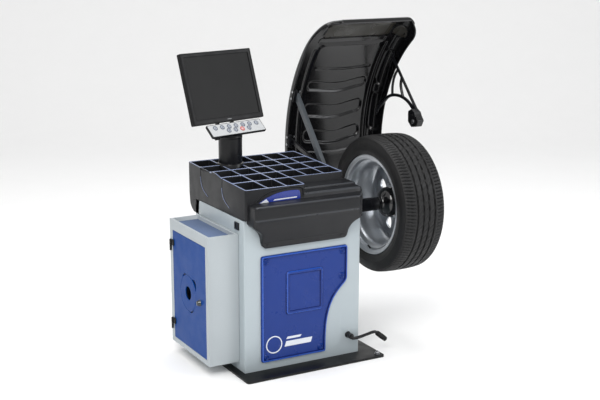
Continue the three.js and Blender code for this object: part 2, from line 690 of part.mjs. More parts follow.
function sensorPin(grow) {
  const reach = KNUCKLE.half + KNUCKLE.lug - 1 + grow;
  const ends = [onPivot(0, -reach), onPivot(1, reach)];
  return bar(ends.map(([y, z]) => [SENSOR_X, y, z]), KNUCKLE.pinR + grow);
}

function sensorBars(grow) {
  const routes = [
    [6, onPivot(1, 0), [38, 1046]], // straight rod
    [6.5, onPivot(0, 0), [330, 1048], [282, 1084], [226, 1098], [165, 1096], [110, 1078], [58, 1042]],
    [5, [206, 1227], [236, 1186], [250, 1140], [250, 1095]], // rear brace
    [6, [172, 1190], [179, 1150], [158, 1094]], // middle brace
    [6, [112, 1079], [39, 1045]], // neck
  ];
  return routes.map(([r, ...points]) => bar(points.map(([y, z]) => [SENSOR_X, y, z]), r + grow, 8));
}

function sensorArm() {
  const knuckles = [0, 1].map((end) => {
    const ends = [onPivot(end, -KNUCKLE.half), onPivot(end, KNUCKLE.half)];
    return bar(ends.map(([y, z]) => [SENSOR_X, y, z]), KNUCKLE.r, 12);
  });
  return joined(...sensorBars(0), ...knuckles, sensorPin(0));
}

function sensorHead() {
  const outline = [[78, 1036], [46, 1052], [20, 1038], [-8, 1004], [8, 974], [48, 967], [76, 990]];
  const head = prism(outline, "x", SENSOR_X - 26, SENSOR_X + 11);
  return cut(head, ...sensorBars(2 * GAP));
}

// Monitor on its post: a yoke swivels on the post and carries the keypad and the tilting screen.
function monitorPost() {
  const { x, y, r, top } = POST;
  const tube = upright(x, y, r, POST_FOOT + GAP, top, 32);
  const collar = upright(x, y, r + 6, POST_FOOT + GAP, 853, 32);
  return tube.add(collar);
}

function monitorYoke() {
  const cap = upright(0, 0, 46, POST.top + GAP, 996, 28);
  const ear = [
    [-20, 990], [30, 990], [70, 1070], [72, 1098], [56, 1104], [46, 1096], [42, 1070], [24, 1020],
    [-20, 1000],
  ];
  const ears = [[-46, -38], [38, 46]].map(([x0, x1]) => prism(ear, "x", x0, x1));
  const back = box([-46, 46], [14, 26], [990, 1006]);
  const bore = rod(-50, 50, 6 + GAP, 16, TILT_PIN.y, TILT_PIN.z);
  const arms = [[-70, -46], [46, 70]].map(([x0, x1]) => box([x0, x1], [-24, -8], [990, 998]));
  return cut(joined(cap, ...ears, back, ...arms), bore);
}

const headTilt = THREE.MathUtils.degToRad(MONITOR.tilt);
const monitorFrame = () => group(head, MONITOR.x, MONITOR.y, MONITOR.bottom, 0, -headTilt);

function monitorHousing() {
  const { width: w, height: h, thick: t } = MONITOR;
  const shell = prism(roundedRect(-w / 2, 0, w / 2, h, 4), "y", 0, 24, 2);
  const bulge = prism(roundedRect(-w / 2 + 30, 24, w / 2 - 30, h - 30, 12), "y", 20, t, 3);
  const recess = box([-w / 2 + 20, w / 2 - 20], [-1, 4], [24, h - 18]);
  return cut(shell.add(bulge), recess);
}

// The hinge block and its pin, on the monitor's back, in the monitor's own frame.
function monitorHinge() {
  const dy = TILT_PIN.y - MONITOR.y;
  const dz = TILT_PIN.z - MONITOR.bottom;
  const y = dy * Math.cos(headTilt) - dz * Math.sin(headTilt);
  const z = dy * Math.sin(headTilt) + dz * Math.cos(headTilt);
  const offset = -MONITOR.x;
  const pin = rod(offset - 52, offset + 52, 6, 16, y, z);
  const barrel = rod(offset - 37, offset + 37, 11, 20, y, z);
  const block = box([offset - 30, offset + 30], [MONITOR.thick, y], [z - 9, z + 9]);
  const plate = box([offset - 34, offset + 34], [MONITOR.thick - 1, MONITOR.thick + 5], [z - 14, z + 70]);
  return joined(plate, block, barrel, pin);
}

function monitorScreen() {
  const { width: w, height: h } = MONITOR;
  return box([-w / 2 + 20 + GAP, w / 2 - 20 - GAP], [1.5, 4 - GAP], [24 + GAP, h - 18 - GAP]);
}

function keypadHousing() {
  const { width: w, depth: d, thick: t } = KEYPAD;
  const slab = prism(roundedRect(-w / 2, -d / 2, w / 2, d / 2, 4), "y", 0, t, 2);
  const field = prism(roundedRect(-w / 2 + 3, -d / 2 + 3, w / 2 - 3, d / 2 - 3, 3), "y", -1, 1, 2);
  const wells = keyCentres().map(([x, z]) => rodAlongY(x, z, KEY.r + 0.8, -1, 5, 14));
  return cut(slab, field, ...wells);
}

function keyCentres() {
  const { width: w, depth: d } = KEYPAD;
  const upper = Array.from({ length: 7 }, (_, i) => [-w / 2 + 38.5 + KEY.pitch * i, d / 2 - 21]);
  const lower = Array.from({ length: 4 }, (_, i) => [-w / 2 + 104 + 39 * i, d / 2 - 43]);
  return [...upper, ...lower];
}

function rodAlongY(x, z, r, y0, y1, segments = 20) {
  const geometry = new THREE.CylinderGeometry(r, r, y1 - y0, segments);
  geometry.translate(x, (y0 + y1) / 2, z);
  return solidOf(geometry);
}

// Tool box on the cabinet's left side, with a recessed top and a framed door.
function toolBox() {
  const { inner, outer, front, back, bottom, top, wall } = BOX;
  const right = inner - GAP;
  const shell = box([outer, right], [front, back], [bottom, top]);
  const recess = box([outer + 12, right - 12], [front + 12, back - 12], [top - 22, top + 1]);
  const room = [outer + DOOR.thick + 3, right - wall];
  const inside = box(room, [front + wall, back - wall], [bottom + wall, top - 26]);
  const doorway = box([outer - 1, outer + 20], [DOOR.front, DOOR.back], [DOOR.bottom, DOOR.top]);
  return cut(shell, recess, inside, doorway);
}

function toolBoxMat() {
  const { inner, outer, front, back, top } = BOX;
  const right = inner - GAP;
  const rim = 12 + GAP;
  return box([outer + rim, right - rim], [front + rim, back - rim], [top - 22 + GAP, top - 17]);
}

// Crescent slots round the door's hole: y from and to, z from and to.
const CRESCENTS = [[38, 78, 376, 420], [-78, -44, 362, 410], [-34, 2, 232, 258]];

function toolDoor() {
  const x = BOX.outer + 1;
  const clear = 1.5;
  const z = [DOOR.bottom + clear, DOOR.top - clear];
  const leaf = box([x, x + DOOR.thick], [DOOR.front + clear, DOOR.back - clear], z);
  const { y, z: z0, r, ring: ringR } = DOOR_HOLE;
  const hole = rodAlongX(y, z0, r);
  const lens = cut(rodAlongX(y, z0, ringR + 8), rodAlongX(y, z0, ringR - 1));
  const cutouts = CRESCENTS.map(([y0, y1, low, high]) =>
    lens.intersect(box([-450, -420], [y0, y1], [low, high])));
  const lockHole = rodAlongX(LOCK.y, LOCK.z, 9);
  return joined(cut(leaf, hole, ...cutouts, lockHole), ...HINGE_HEIGHTS.map(doorHingeHalf));
}

const rodAlongX = (y, z, r, segments = 24) => rod(BOX.outer - 8, BOX.outer + 20, r, segments, y, z);

// The fixed half of a hinge: a leaf on the box's frame and the lower knuckle.
function doorHinge(z) {
  const { x, y } = HINGE_LINE;
  const knuckle = upright(x, y, 5, z - HINGE_HALF, z - GAP, 12);
  const leaf = box([x + 1, BOX.outer - GAP], [y, y + 14], [z - HINGE_HALF, z - GAP]);
  return cut(knuckle.add(leaf), upright(x, y, 2.4, z - HINGE_HALF - 1, z + 1, 10));
}

// The door's half: the upper knuckle with its pin, and a strap on to the door's face.
function doorHingeHalf(z) {
  const { x, y } = HINGE_LINE;
  const knuckle = upright(x, y, 5, z + GAP, z + HINGE_HALF, 12);
  const pin = upright(x, y, 2, z - HINGE_HALF, z + 2, 10);
  const strap = box([x + 1, BOX.outer - GAP], [DOOR.back - 16, y], [z + GAP, z + HINGE_HALF]);
  const foot = box([x + 1, BOX.outer + 2], [DOOR.back - 16, DOOR.back - 3], [z + GAP, z + HINGE_HALF]);
  return joined(knuckle, pin, strap, foot);
}

function doorLock() {
  const x = BOX.outer + 1;
  const { y, z } = LOCK;
  const barrel = rod(x - 12, x + DOOR.thick + 4, 8.5, 20, y, z);
  const knob = rod(x - 14, x - 0.4, 12, 24, y, z);
  const cam = box([x + DOOR.thick + 1, x + DOOR.thick + 4], [y - 55, y + 8], [z - 8, z + 8]);
  const keySlot = box([x - 15, x - 11], [y - 1.2, y + 1.2], [z - 6, z + 6]);
  return cut(joined(barrel, knob, cam), keySlot);
}

// Foot pedal on a pin in front of the cabinet's right foot.
const PEDAL_AXIS = PEDAL.z + 14;

function pedalBracket() {
  const face = -CABINET.halfDepth - GAP;
  const boss = rodAlongY(PEDAL.x, PEDAL_AXIS, 15, face - 8, face, 24);
  return boss.add(rodAlongY(PEDAL.x, PEDAL_AXIS, 7, PEDAL.y - 16, face - 2, 20));
}

function pedalLever() {
  const { x, y, z, tip, r } = PEDAL;
  const hub = rodAlongY(x, PEDAL_AXIS, 13, y - 10, y + 10, 20);
  const route = [[x + 10, z + 2], [x + 40, z + 1], [x + 90, z + 7], [tip - 25, z + 11], [tip, z + 6]];
  const arm = bar(route.map(([px, pz]) => [px, y, pz]), r, 10);
  return cut(hub.add(arm), rodAlongY(x, PEDAL_AXIS, 7 + GAP, y - 20, y + 20, 20));
}

function pedalGrip() {
  const { y, z, tip } = PEDAL;
  const grip = bar([[tip + 1, y, z + 4], [tip + 22, y, z - 14], [tip + 46, y, z - 34]], 12, 12);
  return cut(grip, box([tip - 20, tip + 0.8], [y - 20, y + 20], [z - 20, z + 30]), leverTipClearance());
}

const leverTipClearance = () =>
  rodBetween(PEDAL.tip - 12, PEDAL.tip + 3, PEDAL.r + GAP, PEDAL.y, PEDAL.z + 6);
const rodBetween = (x0, x1, r, y, z) => rod(x0, x1, r, 16, y, z);

// ---- Building the machine ----
place(machine, "base_plate", basePlate(), BLACK_PAINT);
place(machine, "cabinet_body", cabinetBody(), GREY_PAINT);
place(machine, "cabinet_back_panel", backPanel(), GREY_PAINT);
place(machine, "front_panel", frontPanel(), BLUE_PANEL);
place(machine, "power_inlet", powerInlet(), BLACK_PAINT);
place(machine, "weight_tray", weightTray(), CHARCOAL);
COLUMN_LINES.forEach((x, i) => place(machine, `tray_divider_y${i + 1}`, dividerAlongY(x), CHARCOAL));
ROW_LINES.forEach((y, i) => place(machine, `tray_divider_x${i + 1}`, dividerAlongX(y), CHARCOAL));
place(machine, "front_cowl", frontCowl(), CHARCOAL);
place(machine, "spindle_shroud", spindleShroud(), CHARCOAL);

place(machine, "spindle_bridge", spindleBridge(), STEEL);
place(machine, "drive_motor", driveMotor(), BLACK_PAINT);
const spindle = group(machine, 0, AXIS.y, AXIS.z);
place(spindle, "spindle_housing", spindleHousing(), BLACK_PAINT);
place(spindle, "bearing_rear", bearing(HOUSING.from + 4), STEEL);
place(spindle, "bearing_front", bearing(HOUSING.to - 20), STEEL);
place(spindle, "drive_belt", driveBelt(), RUBBER);
place(spindle, "spindle_shaft", spindleShaft(), STEEL);
place(spindle, "driven_pulley", drivenPulley(), STEEL);
place(spindle, "mounting_flange", mountingFlange(), BLACK_PAINT);
place(spindle, "centring_cone", centringCone(), STEEL);
place(spindle, "quick_nut", quickNut(), BLACK_PAINT);
place(spindle, "wheel_rim", rimBarrel().add(rimDisc()), RIM_SILVER);
place(spindle, "tyre", tyre(), RUBBER);
const motorAxis = group(machine, 0, MOTOR.y, MOTOR.z);
place(motorAxis, "motor_pulley", motorPulley(), STEEL);

place(machine, "hood_bearing_bracket", hoodBearingBracket(), BLACK_PAINT);
place(machine, "hood_arm", hoodArm(), ARM_GREY);
place(machine, "hood_shell", hoodShell(), HOOD_BLACK);
place(machine, "sensor_arm", sensorArm(), BLACK_PAINT);
place(machine, "sensor_head", sensorHead(), BLACK_PAINT);

place(machine, "monitor_post", monitorPost(), BLACK_PAINT);
const head = group(machine, POST.x, POST.y, 0, YAW);
place(head, "monitor_yoke", monitorYoke(), BLACK_PAINT);
const monitor = monitorFrame();
place(monitor, "monitor_housing", monitorHousing().add(monitorHinge()), HOOD_BLACK);
place(monitor, "monitor_screen", monitorScreen(), SCREEN_BLACK);
const keypad = group(head, KEYPAD.x, KEYPAD.y, KEYPAD.z, 0, -THREE.MathUtils.degToRad(KEYPAD.tilt));
place(keypad, "keypad_housing", keypadHousing(), KEY_WHITE);
const RED_KEY = 10;
keyCentres().forEach(([x, z], i) => {
  const cap = rodAlongY(x, z, KEY.r, 1 - KEY.high, 3, 14);
  place(keypad, `key_${i + 1}`, cap, i + 1 === RED_KEY ? KEY_RED : KEY_WHITE);
});

place(machine, "tool_box", toolBox(), LIGHT_PAINT);
place(machine, "tool_box_mat", toolBoxMat(), MAT_BLUE);
place(machine, "tool_door", toolDoor(), BLUE_DOOR);
place(machine, "door_lock", doorLock(), CHROME);
place(machine, "door_hinge_low", doorHinge(HINGE_HEIGHTS[0]), BLACK_PAINT);
place(machine, "door_hinge_high", doorHinge(HINGE_HEIGHTS[1]), BLACK_PAINT);
place(machine, "pedal_bracket", pedalBracket(), BLACK_PAINT);
place(machine, "pedal_lever", pedalLever(), BLACK_PAINT);
place(machine, "pedal_grip", pedalGrip(), RUBBER);

export default machine;
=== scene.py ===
import json
import math
from math import asin, atan2, cos, hypot, pi, radians, sin, sqrt

import bmesh
import bpy
from mathutils import Matrix, Vector


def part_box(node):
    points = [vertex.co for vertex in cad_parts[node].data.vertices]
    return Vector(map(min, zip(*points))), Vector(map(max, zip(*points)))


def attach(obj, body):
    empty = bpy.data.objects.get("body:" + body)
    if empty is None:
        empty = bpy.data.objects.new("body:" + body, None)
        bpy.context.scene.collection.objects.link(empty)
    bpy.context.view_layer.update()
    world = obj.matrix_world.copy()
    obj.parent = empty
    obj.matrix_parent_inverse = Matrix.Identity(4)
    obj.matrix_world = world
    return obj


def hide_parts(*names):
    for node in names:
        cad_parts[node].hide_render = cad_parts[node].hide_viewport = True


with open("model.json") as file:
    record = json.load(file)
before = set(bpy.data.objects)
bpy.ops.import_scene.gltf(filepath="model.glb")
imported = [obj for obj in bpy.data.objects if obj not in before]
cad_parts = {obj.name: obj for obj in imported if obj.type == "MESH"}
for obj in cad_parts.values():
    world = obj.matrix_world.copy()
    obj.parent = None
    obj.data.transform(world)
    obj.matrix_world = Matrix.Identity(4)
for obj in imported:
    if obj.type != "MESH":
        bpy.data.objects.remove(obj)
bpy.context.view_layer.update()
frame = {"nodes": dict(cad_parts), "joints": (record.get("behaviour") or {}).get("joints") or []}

NODES = frame["nodes"]
JOINTS = {joint["name"]: joint for joint in frame["joints"]}
MM = 0.001
GRAIN_DEPTH = 0.0003             # metres, the height of the fine grain in every surface


def mm(*values):
    """A point or a vector given in millimetres."""
    return Vector(values) * MM


# ---------------------------------------------------------------- materials
def srgb(red, green, blue):
    """A linear colour from 0-255 display values."""
    shares = [value / 255 for value in (red, green, blue)]
    linear = [((s + 0.055) / 1.055) ** 2.4 if s > 0.04 else s / 12.92 for s in shares]
    return (*linear, 1.0)


def noise(tree, coords, scale, detail=3.0, stretch=(1, 1, 1), roughness=0.55):
    """A noise texture in object space; scale is in features per metre."""
    mapping = tree.nodes.new("ShaderNodeMapping")
    mapping.inputs["Scale"].default_value = stretch
    tree.links.new(coords.outputs["Object"], mapping.inputs["Vector"])
    texture = tree.nodes.new("ShaderNodeTexNoise")
    texture.inputs["Scale"].default_value = scale
    texture.inputs["Detail"].default_value = detail
    texture.inputs["Roughness"].default_value = roughness
    tree.links.new(mapping.outputs["Vector"], texture.inputs["Vector"])
    return texture.outputs["Fac"]


def remap(tree, value, low, high, start=0.3, end=0.7):
    node = tree.nodes.new("ShaderNodeMapRange")
    for socket, number in (("From Min", start), ("From Max", end), ("To Min", low), ("To Max", high)):
        node.inputs[socket].default_value = number
    tree.links.new(value, node.inputs["Value"])
    return node.outputs["Result"]


def blend_colors(tree, factor, first, second):
    node = tree.nodes.new("ShaderNodeMix")
    node.data_type = "RGBA"
    tree.links.new(factor, node.inputs["Factor"])
    for socket, value in (("A", first), ("B", second)):
        plug = [s for s in node.inputs if s.name == socket and s.type == "RGBA"][0]
        if isinstance(value, bpy.types.NodeSocket):
            tree.links.new(value, plug)
        else:
            plug.default_value = value
    return [s for s in node.outputs if s.type == "RGBA"][0]


def shade(color, factor):
    return tuple(min(1.0, channel * factor) for channel in color[:3]) + (1.0,)


def finish(name, color, rough, grain, bump, mottle, metal=0.0, spread=0.08, stretch=(1, 1, 1),
           scuffs=0.0, coat=0.0, shine=0.5):
    """A painted, moulded or metal surface: tone clouds, fine grain, uneven gloss and faint scuffs."""
    material = bpy.data.materials.new(name)
    material.use_nodes = True
    tree = material.node_tree
    shader = tree.nodes["Principled BSDF"]
    coords = tree.nodes.new("ShaderNodeTexCoord")
    clouds = noise(tree, coords, 5.0, 5.0)
    tone = blend_colors(tree, remap(tree, clouds, 0, 1), shade(color, 1 - mottle), shade(color, 1 + mottle))
    fine = noise(tree, coords, grain, 2.0, stretch)
    tone = blend_colors(tree, remap(tree, fine, 0, 0.35), tone, shade(color, 1 - 2 * mottle))
    gloss = remap(tree, noise(tree, coords, 14.0, 6.0), rough - spread, rough + spread)
    if scuffs:
        lines = noise(tree, coords, 60.0, 8.0, (1, 1, 0.08), 0.7)
        marks = remap(tree, lines, 0.0, scuffs, 0.62, 0.74)
        tone = blend_colors(tree, marks, tone, shade(color, 1.9))
    tree.links.new(tone, shader.inputs["Base Color"])
    tree.links.new(gloss, shader.inputs["Roughness"])
    shader.inputs["Metallic"].default_value = metal
    shader.inputs["Specular IOR Level"].default_value = shine
    shader.inputs["Coat Weight"].default_value = coat
    shader.inputs["Coat Roughness"].default_value = 0.12
    height = tree.nodes.new("ShaderNodeBump")
    height.inputs["Strength"].default_value = bump
    height.inputs["Distance"].default_value = GRAIN_DEPTH
    tree.links.new(fine, height.inputs["Height"])
    tree.links.new(height.outputs["Normal"], shader.inputs["Normal"])
    return material


# Display colour, roughness, grains per metre, bump, mottle, and what differs from a plain surface.
SURFACES = {
    "cabinet_paint": ((166, 176, 181), 0.4, 420, 0.10, 0.025, dict(scuffs=0.10, coat=0.1)),
    "box_paint": ((168, 175, 179), 0.42, 420, 0.10, 0.02, dict(scuffs=0.08, shine=0.3)),
    "black_steel": ((11, 12, 16), 0.3, 500, 0.04, 0.06, dict(coat=0.12, spread=0.03, shine=0.3)),
    "base_paint": ((14, 15, 17), 0.42, 300, 0.1, 0.15, dict(scuffs=0.25, shine=0.3)),
    "arm_paint": ((76, 81, 86), 0.38, 600, 0.1, 0.12, dict(metal=0.3)),
    # A lighter blue as painted highlight on the panel's bead crests, and a darker blue as painted shade in
    # its grooves.
    "panel_crest_highlight": ((34, 78, 168), 0.26, 900, 0.05, 0.04, dict()),
    "panel_groove_shade": ((8, 24, 84), 0.4, 900, 0.05, 0.05, dict(shine=0.2)),
    "blue_panel": ((8, 46, 122), 0.3, 900, 0.06, 0.04, dict(coat=0.08, shine=0.3)),
    "door_paint": ((10, 62, 132), 0.4, 500, 0.06, 0.03, dict(shine=0.12)),
    "blue_mat": ((98, 114, 144), 0.75, 350, 0.5, 0.08, dict(shine=0.15)),
    "tray_plastic": ((22, 23, 26), 0.36, 1100, 0.16, 0.08, dict(shine=0.3)),
    # A lighter grey laid on the cowl's creases and edges as a painted highlight.
    "cowl_crease_highlight": ((40, 43, 48), 0.32, 900, 0.1, 0.08, dict(shine=0.4)),
    # A light grey-blue laid on the tray's rib tops and in its side grooves as a painted highlight.
    "tray_rib_highlight": ((118, 130, 162), 0.22, 900, 0.05, 0.06, dict(coat=0.3)),
    "hood_plastic": ((10, 10, 12), 0.2, 60, 0.03, 0.12, dict(coat=0.15, spread=0.04, shine=0.35)),
    "hood_olive": ((34, 32, 25), 0.3, 60, 0.03, 0.15, dict(coat=0.1, shine=0.35)),
    "monitor_plastic": ((9, 9, 11), 0.42, 1400, 0.2, 0.06, dict(shine=0.25)),
    "black_plastic": ((13, 14, 16), 0.32, 900, 0.1, 0.08, dict(shine=0.4)),
    "screen_glass": ((15, 15, 15), 0.34, 2500, 0.02, 0.02, dict(spread=0.015, shine=0.15)),
    "keypad_film": ((174, 176, 178), 0.4, 900, 0.04, 0.015, dict(shine=0.25)),
    "key_film": ((150, 155, 164), 0.34, 900, 0.05, 0.03, dict(shine=0.3)),
    "red_key_film": ((186, 138, 136), 0.34, 900, 0.05, 0.03, dict()),
    "steel": ((160, 162, 165), 0.3, 900, 0.06, 0.05, dict(metal=1.0, stretch=(0.04, 1, 1), spread=0.03)),
    "chrome_metal": ((74, 76, 76), 0.16, 500, 0.03, 0.03, dict(metal=1.0)),
    "rim_alloy": ((178, 182, 187), 0.34, 700, 0.015, 0.03, dict(metal=0.85, stretch=(1, 0.08, 0.08),
                                                                spread=0.02)),
    "tyre_rubber": ((19, 19, 20), 0.55, 800, 0.3, 0.12, dict(shine=0.35)),
    "belt_rubber": ((34, 34, 35), 0.7, 600, 0.3, 0.1, dict()),
    "grip_rubber": ((14, 14, 16), 0.6, 500, 0.4, 0.1, dict(shine=0.3)),
    "pocket_dark": ((8, 9, 11), 0.5, 1100, 0.2, 0.08, dict(shine=0.2)),
    "badge_blue": ((28, 50, 140), 0.25, 600, 0.02, 0.04, dict(coat=0.3)),
    "badge_white": ((214, 218, 226), 0.3, 600, 0.02, 0.02, dict()),
    "gloss_black": ((8, 9, 11), 0.08, 200, 0.01, 0.1, dict(coat=0.6, spread=0.03)),
    "badge_grey": ((100, 102, 104), 0.35, 600, 0.05, 0.05, dict()),
    "key_ring": ((66, 72, 86), 0.4, 900, 0.03, 0.04, dict()),
    "key_ring_red": ((180, 74, 68), 0.4, 900, 0.03, 0.04, dict()),
}
MATERIALS = {name: finish(name, srgb(*color), rough, grain, bump, mottle, **rest)
             for name, (color, rough, grain, bump, mottle, rest) in SURFACES.items()}


# ---------------------------------------------------------------- mesh helpers
def new_object(name, mesh, material):
    thing = bpy.data.objects.new(name, mesh)
    bpy.context.scene.collection.objects.link(thing)
    mesh.materials.append(MATERIALS[material])
    return thing


def from_faces(name, points, faces, material, smooth=True):
    mesh = bpy.data.meshes.new(name)
    mesh.from_pydata([tuple(p) for p in points], [], faces)
    work = bmesh.new()
    work.from_mesh(mesh)
    bmesh.ops.remove_doubles(work, verts=work.verts, dist=1e-6)
    bmesh.ops.recalc_face_normals(work, faces=work.faces)
    work.to_mesh(mesh)
    work.free()
    thing = new_object(name, mesh, material)
    if smooth:
        soften(thing)
    return thing


def paint(thing, *names):
    """Gives a thing these materials and no others."""
    thing.data.materials.clear()
    for name in names:
        thing.data.materials.append(MATERIALS[name])


def soften(thing, degrees=32):
    """Smooth shading with sharp edges kept above an angle."""
    mesh = thing.data
    mesh.polygons.foreach_set("use_smooth", [True] * len(mesh.polygons))
    work = bmesh.new()
    work.from_mesh(mesh)
    limit = radians(degrees)
    for edge in work.edges:
        edge.smooth = len(edge.link_faces) == 2 and edge.calc_face_angle(0) < limit
    work.to_mesh(mesh)
    work.free()


def loft(name, rings, material, caps=True, smooth=True):
    """Closed rings of equal length, skinned in order."""
    count = len(rings[0])
    points = [point for ring in rings for point in ring]
    faces = []
    for row in range(len(rings) - 1):
        for i in range(count):
            a, b = row * count + i, row * count + (i + 1) % count
            faces.append((a, b, b + count, a + count))
    if caps:
        faces.append(tuple(range(count)))
        faces.append(tuple(reversed(range(len(points) - count, len(points)))))
    return from_faces(name, points, faces, material, smooth)


def fillet(points, radius, steps=4):
    """The outline with each corner replaced by a short curve."""
    result = []
    for i, corner in enumerate(points):
        here = Vector(corner)
        before, after = Vector(points[i - 1]), Vector(points[(i + 1) % len(points)])
        reach_in = min(radius, (before - here).length * 0.48)
        reach_out = min(radius, (after - here).length * 0.48)
        start = here + (before - here).normalized() * reach_in
        end = here + (after - here).normalized() * reach_out
        for k in range(steps + 1):
            t = k / steps
            result.append(tuple(start * (1 - t) ** 2 + here * 2 * t * (1 - t) + end * t * t))
    return result


def rounded_rect(x0, x1, y0, y1, radius, steps=4):
    return fillet([(x0, y0), (x1, y0), (x1, y1), (x0, y1)], radius, steps=steps)


def inset_ring(y, inset, x0, x1, z0, z1, radius):
    """A rounded rectangle across Y, drawn in by an inset, as a ring of points."""
    outline = rounded_rect(x0 + inset, x1 - inset, z0 + inset, z1 - inset, radius)
    return [mm(x, y, z) for x, z in outline]


PLANES = {
    "x": lambda a, b, c: (c, a, b),
    "y": lambda a, b, c: (a, c, b),
    "z": lambda a, b, c: (a, b, c),
}


def slab(name, outline, axis, low, high, material, bevel=0.0, segments=3):
    """An outline in the plane across an axis, given thickness along it, in millimetres."""
    place = PLANES[axis]
    rings = [[Vector(place(a, b, level)) * MM for a, b in outline] for level in (low, high)]
    thing = loft(name, rings, material, smooth=False)
    if bevel:
        round_edges(thing, bevel, segments)
    return thing


def round_edges(thing, width, segments=3, angle=30):
    modifier = thing.modifiers.new("edges", "BEVEL")
    modifier.width = width * MM
    modifier.segments = segments
    modifier.limit_method = "ANGLE"
    modifier.angle_limit = radians(angle)
    modifier.harden_normals = True
    thing.data.polygons.foreach_set("use_smooth", [True] * len(thing.data.polygons))
    return thing


def block(name, x, y, z, material, bevel=1.0):
    outline = [(x[0], y[0]), (x[1], y[0]), (x[1], y[1]), (x[0], y[1])]
    return slab(name, outline, "z", z[0], z[1], material, bevel)


def grid(rows, columns):
    """The faces of a sheet of points, row by row."""
    corners = (r * columns + i for r in range(rows - 1) for i in range(columns - 1))
    return [(a, a + 1, a + columns + 1, a + columns) for a in corners]


def wrapped(name, rings, spans, material, smooth):
    """Sections in order round an axis, joined to each other and the last to the first."""
    count = len(rings[0])
    faces = []
    for k in range(len(rings)):
        here, there = k * count, (k + 1) % len(rings) * count
        for i in range(spans):
            j = (i + 1) % count
            faces.append((here + i, here + j, there + j, there + i))
    thing = from_faces(name, [p for ring in rings for p in ring], faces, material, smooth=False)
    soften(thing, smooth)
    return thing


def bar_profile(low, high, radius, chamfer=0.0, bore=0.0):
    """The profile of a turned bar or sleeve, with its ends chamfered."""
    if not chamfer:
        return [(low, bore), (low, radius), (high, radius), (high, bore)]
    return [(low, bore), (low, radius - chamfer), (low + chamfer, radius), (high - chamfer, radius),
            (high, radius - chamfer), (high, bore)]


def turned(name, profile, material, origin=(0, 0), axis="x", segments=96, smooth=32):
    """A body of revolution in millimetres. The profile holds (along, radius) pairs."""
    rings = []
    for k in range(segments):
        angle = 2 * pi * k / segments
        ring = []
        for along, radius in profile:
            u, v = radius * cos(angle), radius * sin(angle)
            ring.append(Vector(PLANES[axis](origin[0] + u, origin[1] + v, along)) * MM)
        rings.append(ring)
    hollow = profile[0][1] > 0
    return wrapped(name, rings, len(profile) if hollow else len(profile) - 1, material, smooth)


def smooth_path(points, steps=6):
    """A Catmull-Rom line through given points."""
    points = [Vector(p) for p in points]
    line = []
    for i in range(len(points) - 1):
        p1, p2 = points[i], points[i + 1]
        p0 = points[i - 1] if i else p1 - (p2 - p1)
        p3 = points[i + 2] if i + 2 < len(points) else p2 + (p2 - p1)
        for k in range(steps):
            t = k / steps
            line.append(0.5 * ((2 * p1) + (p2 - p0) * t + (2 * p0 - 5 * p1 + 4 * p2 - p3) * t * t
                               + (3 * p1 - p0 - 3 * p2 + p3) * t ** 3))
    line.append(points[-1])
    return line


def swept(name, path, radius, material, sides=20, flat=1.0):
    """A round or flattened bar along a path in millimetres, with rounded ends."""
    path = [Vector(p) for p in path]
    directions = []
    for i in range(len(path)):
        ahead = path[min(i + 1, len(path) - 1)] - path[max(i - 1, 0)]
        directions.append(ahead.normalized())
    side = directions[0].orthogonal().normalized()
    rings = []
    stations = [(spot, direction, 1.0) for spot, direction in zip(path, directions)]
    (first, out, _), (last, on, _) = stations[0], stations[-1]
    caps = (0.35, 0.75, 0.95)
    head = [(first - out * radius * 0.5 * (1 - c), out, sqrt(c)) for c in caps]
    tail = [(last + on * radius * 0.5 * (1 - c), on, sqrt(c)) for c in reversed(caps)]
    stations = head + stations + tail
    for centre, direction, share in stations:
        side = (side - direction * side.dot(direction)).normalized()
        up = direction.cross(side)
        ring = []
        for k in range(sides):
            angle = 2 * pi * k / sides
            offset = side * cos(angle) + up * (sin(angle) * flat)
            ring.append((centre + offset * radius * share) * MM)
        rings.append(ring)
    return loft(name, rings, material)


def baked(thing):
    """Applies the modifiers for good."""
    bpy.context.view_layer.update()
    graph = bpy.context.evaluated_depsgraph_get()
    mesh = bpy.data.meshes.new_from_object(thing.evaluated_get(graph))
    thing.modifiers.clear()
    thing.data = mesh


def carve(thing, *cutters):
    """Cuts the cutters out of a mesh for good, and removes them."""
    for cutter in cutters:
        modifier = thing.modifiers.new("cut", "BOOLEAN")
        modifier.operation = "DIFFERENCE"
        modifier.solver = "EXACT"
        modifier.object = cutter
    baked(thing)
    for cutter in cutters:
        bpy.data.objects.remove(cutter)
    return thing


def together(name, things):
    """Joins meshes that move as one into one piece."""
    bpy.ops.object.select_all(action="DESELECT")
    for thing in things:
        thing.select_set(True)
    bpy.context.view_layer.objects.active = things[0]
    bpy.ops.object.join()
    things[0].name = name
    return things[0]


def stands(thing, body, *nodes, slot=None):
    """The piece moves with a body and may stand for CAD nodes; its slot argument is not used."""
    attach(thing, body)
    if nodes:
        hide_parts(*nodes)
    return thing


def millimetres(node):
    low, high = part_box(node)
    return low / MM, high / MM


def middle(node):
    low, high = millimetres(node)
    return (low + high) / 2


def screw(name, at, normal, radius, material, body):
    """A pan-head screw: a domed head with a recess, on a washer face."""
    r, height = radius, 2.2
    profile = [(-1.0, 0), (-1.0, r), (height * 0.35, r), (height * 0.8, r * 0.8), (height, r * 0.45),
               (height - 0.2 * r, r * 0.3), (height - 0.5 * r, r * 0.12), (height - 0.5 * r, 0)]
    head = turned(name, profile, material, axis="z", segments=20)
    turn = Vector((0, 0, 1)).rotation_difference(Vector(normal)).to_matrix().to_4x4()
    head.data.transform(Matrix.Translation(Vector(at) * MM) @ turn)
    return stands(head, body)


# ---------------------------------------------------------------- carried-over CAD nodes
def carry(node, material, bevel=1.0, segments=2, smooth=30):
    """A CAD node that keeps its shape, with softened edges and its own surface."""
    thing = NODES[node]
    paint(thing, material)
    weld = thing.modifiers.new("weld", "WELD")
    weld.merge_threshold = 2e-6
    if bevel:
        round_edges(thing, bevel, segments, smooth)
    return thing


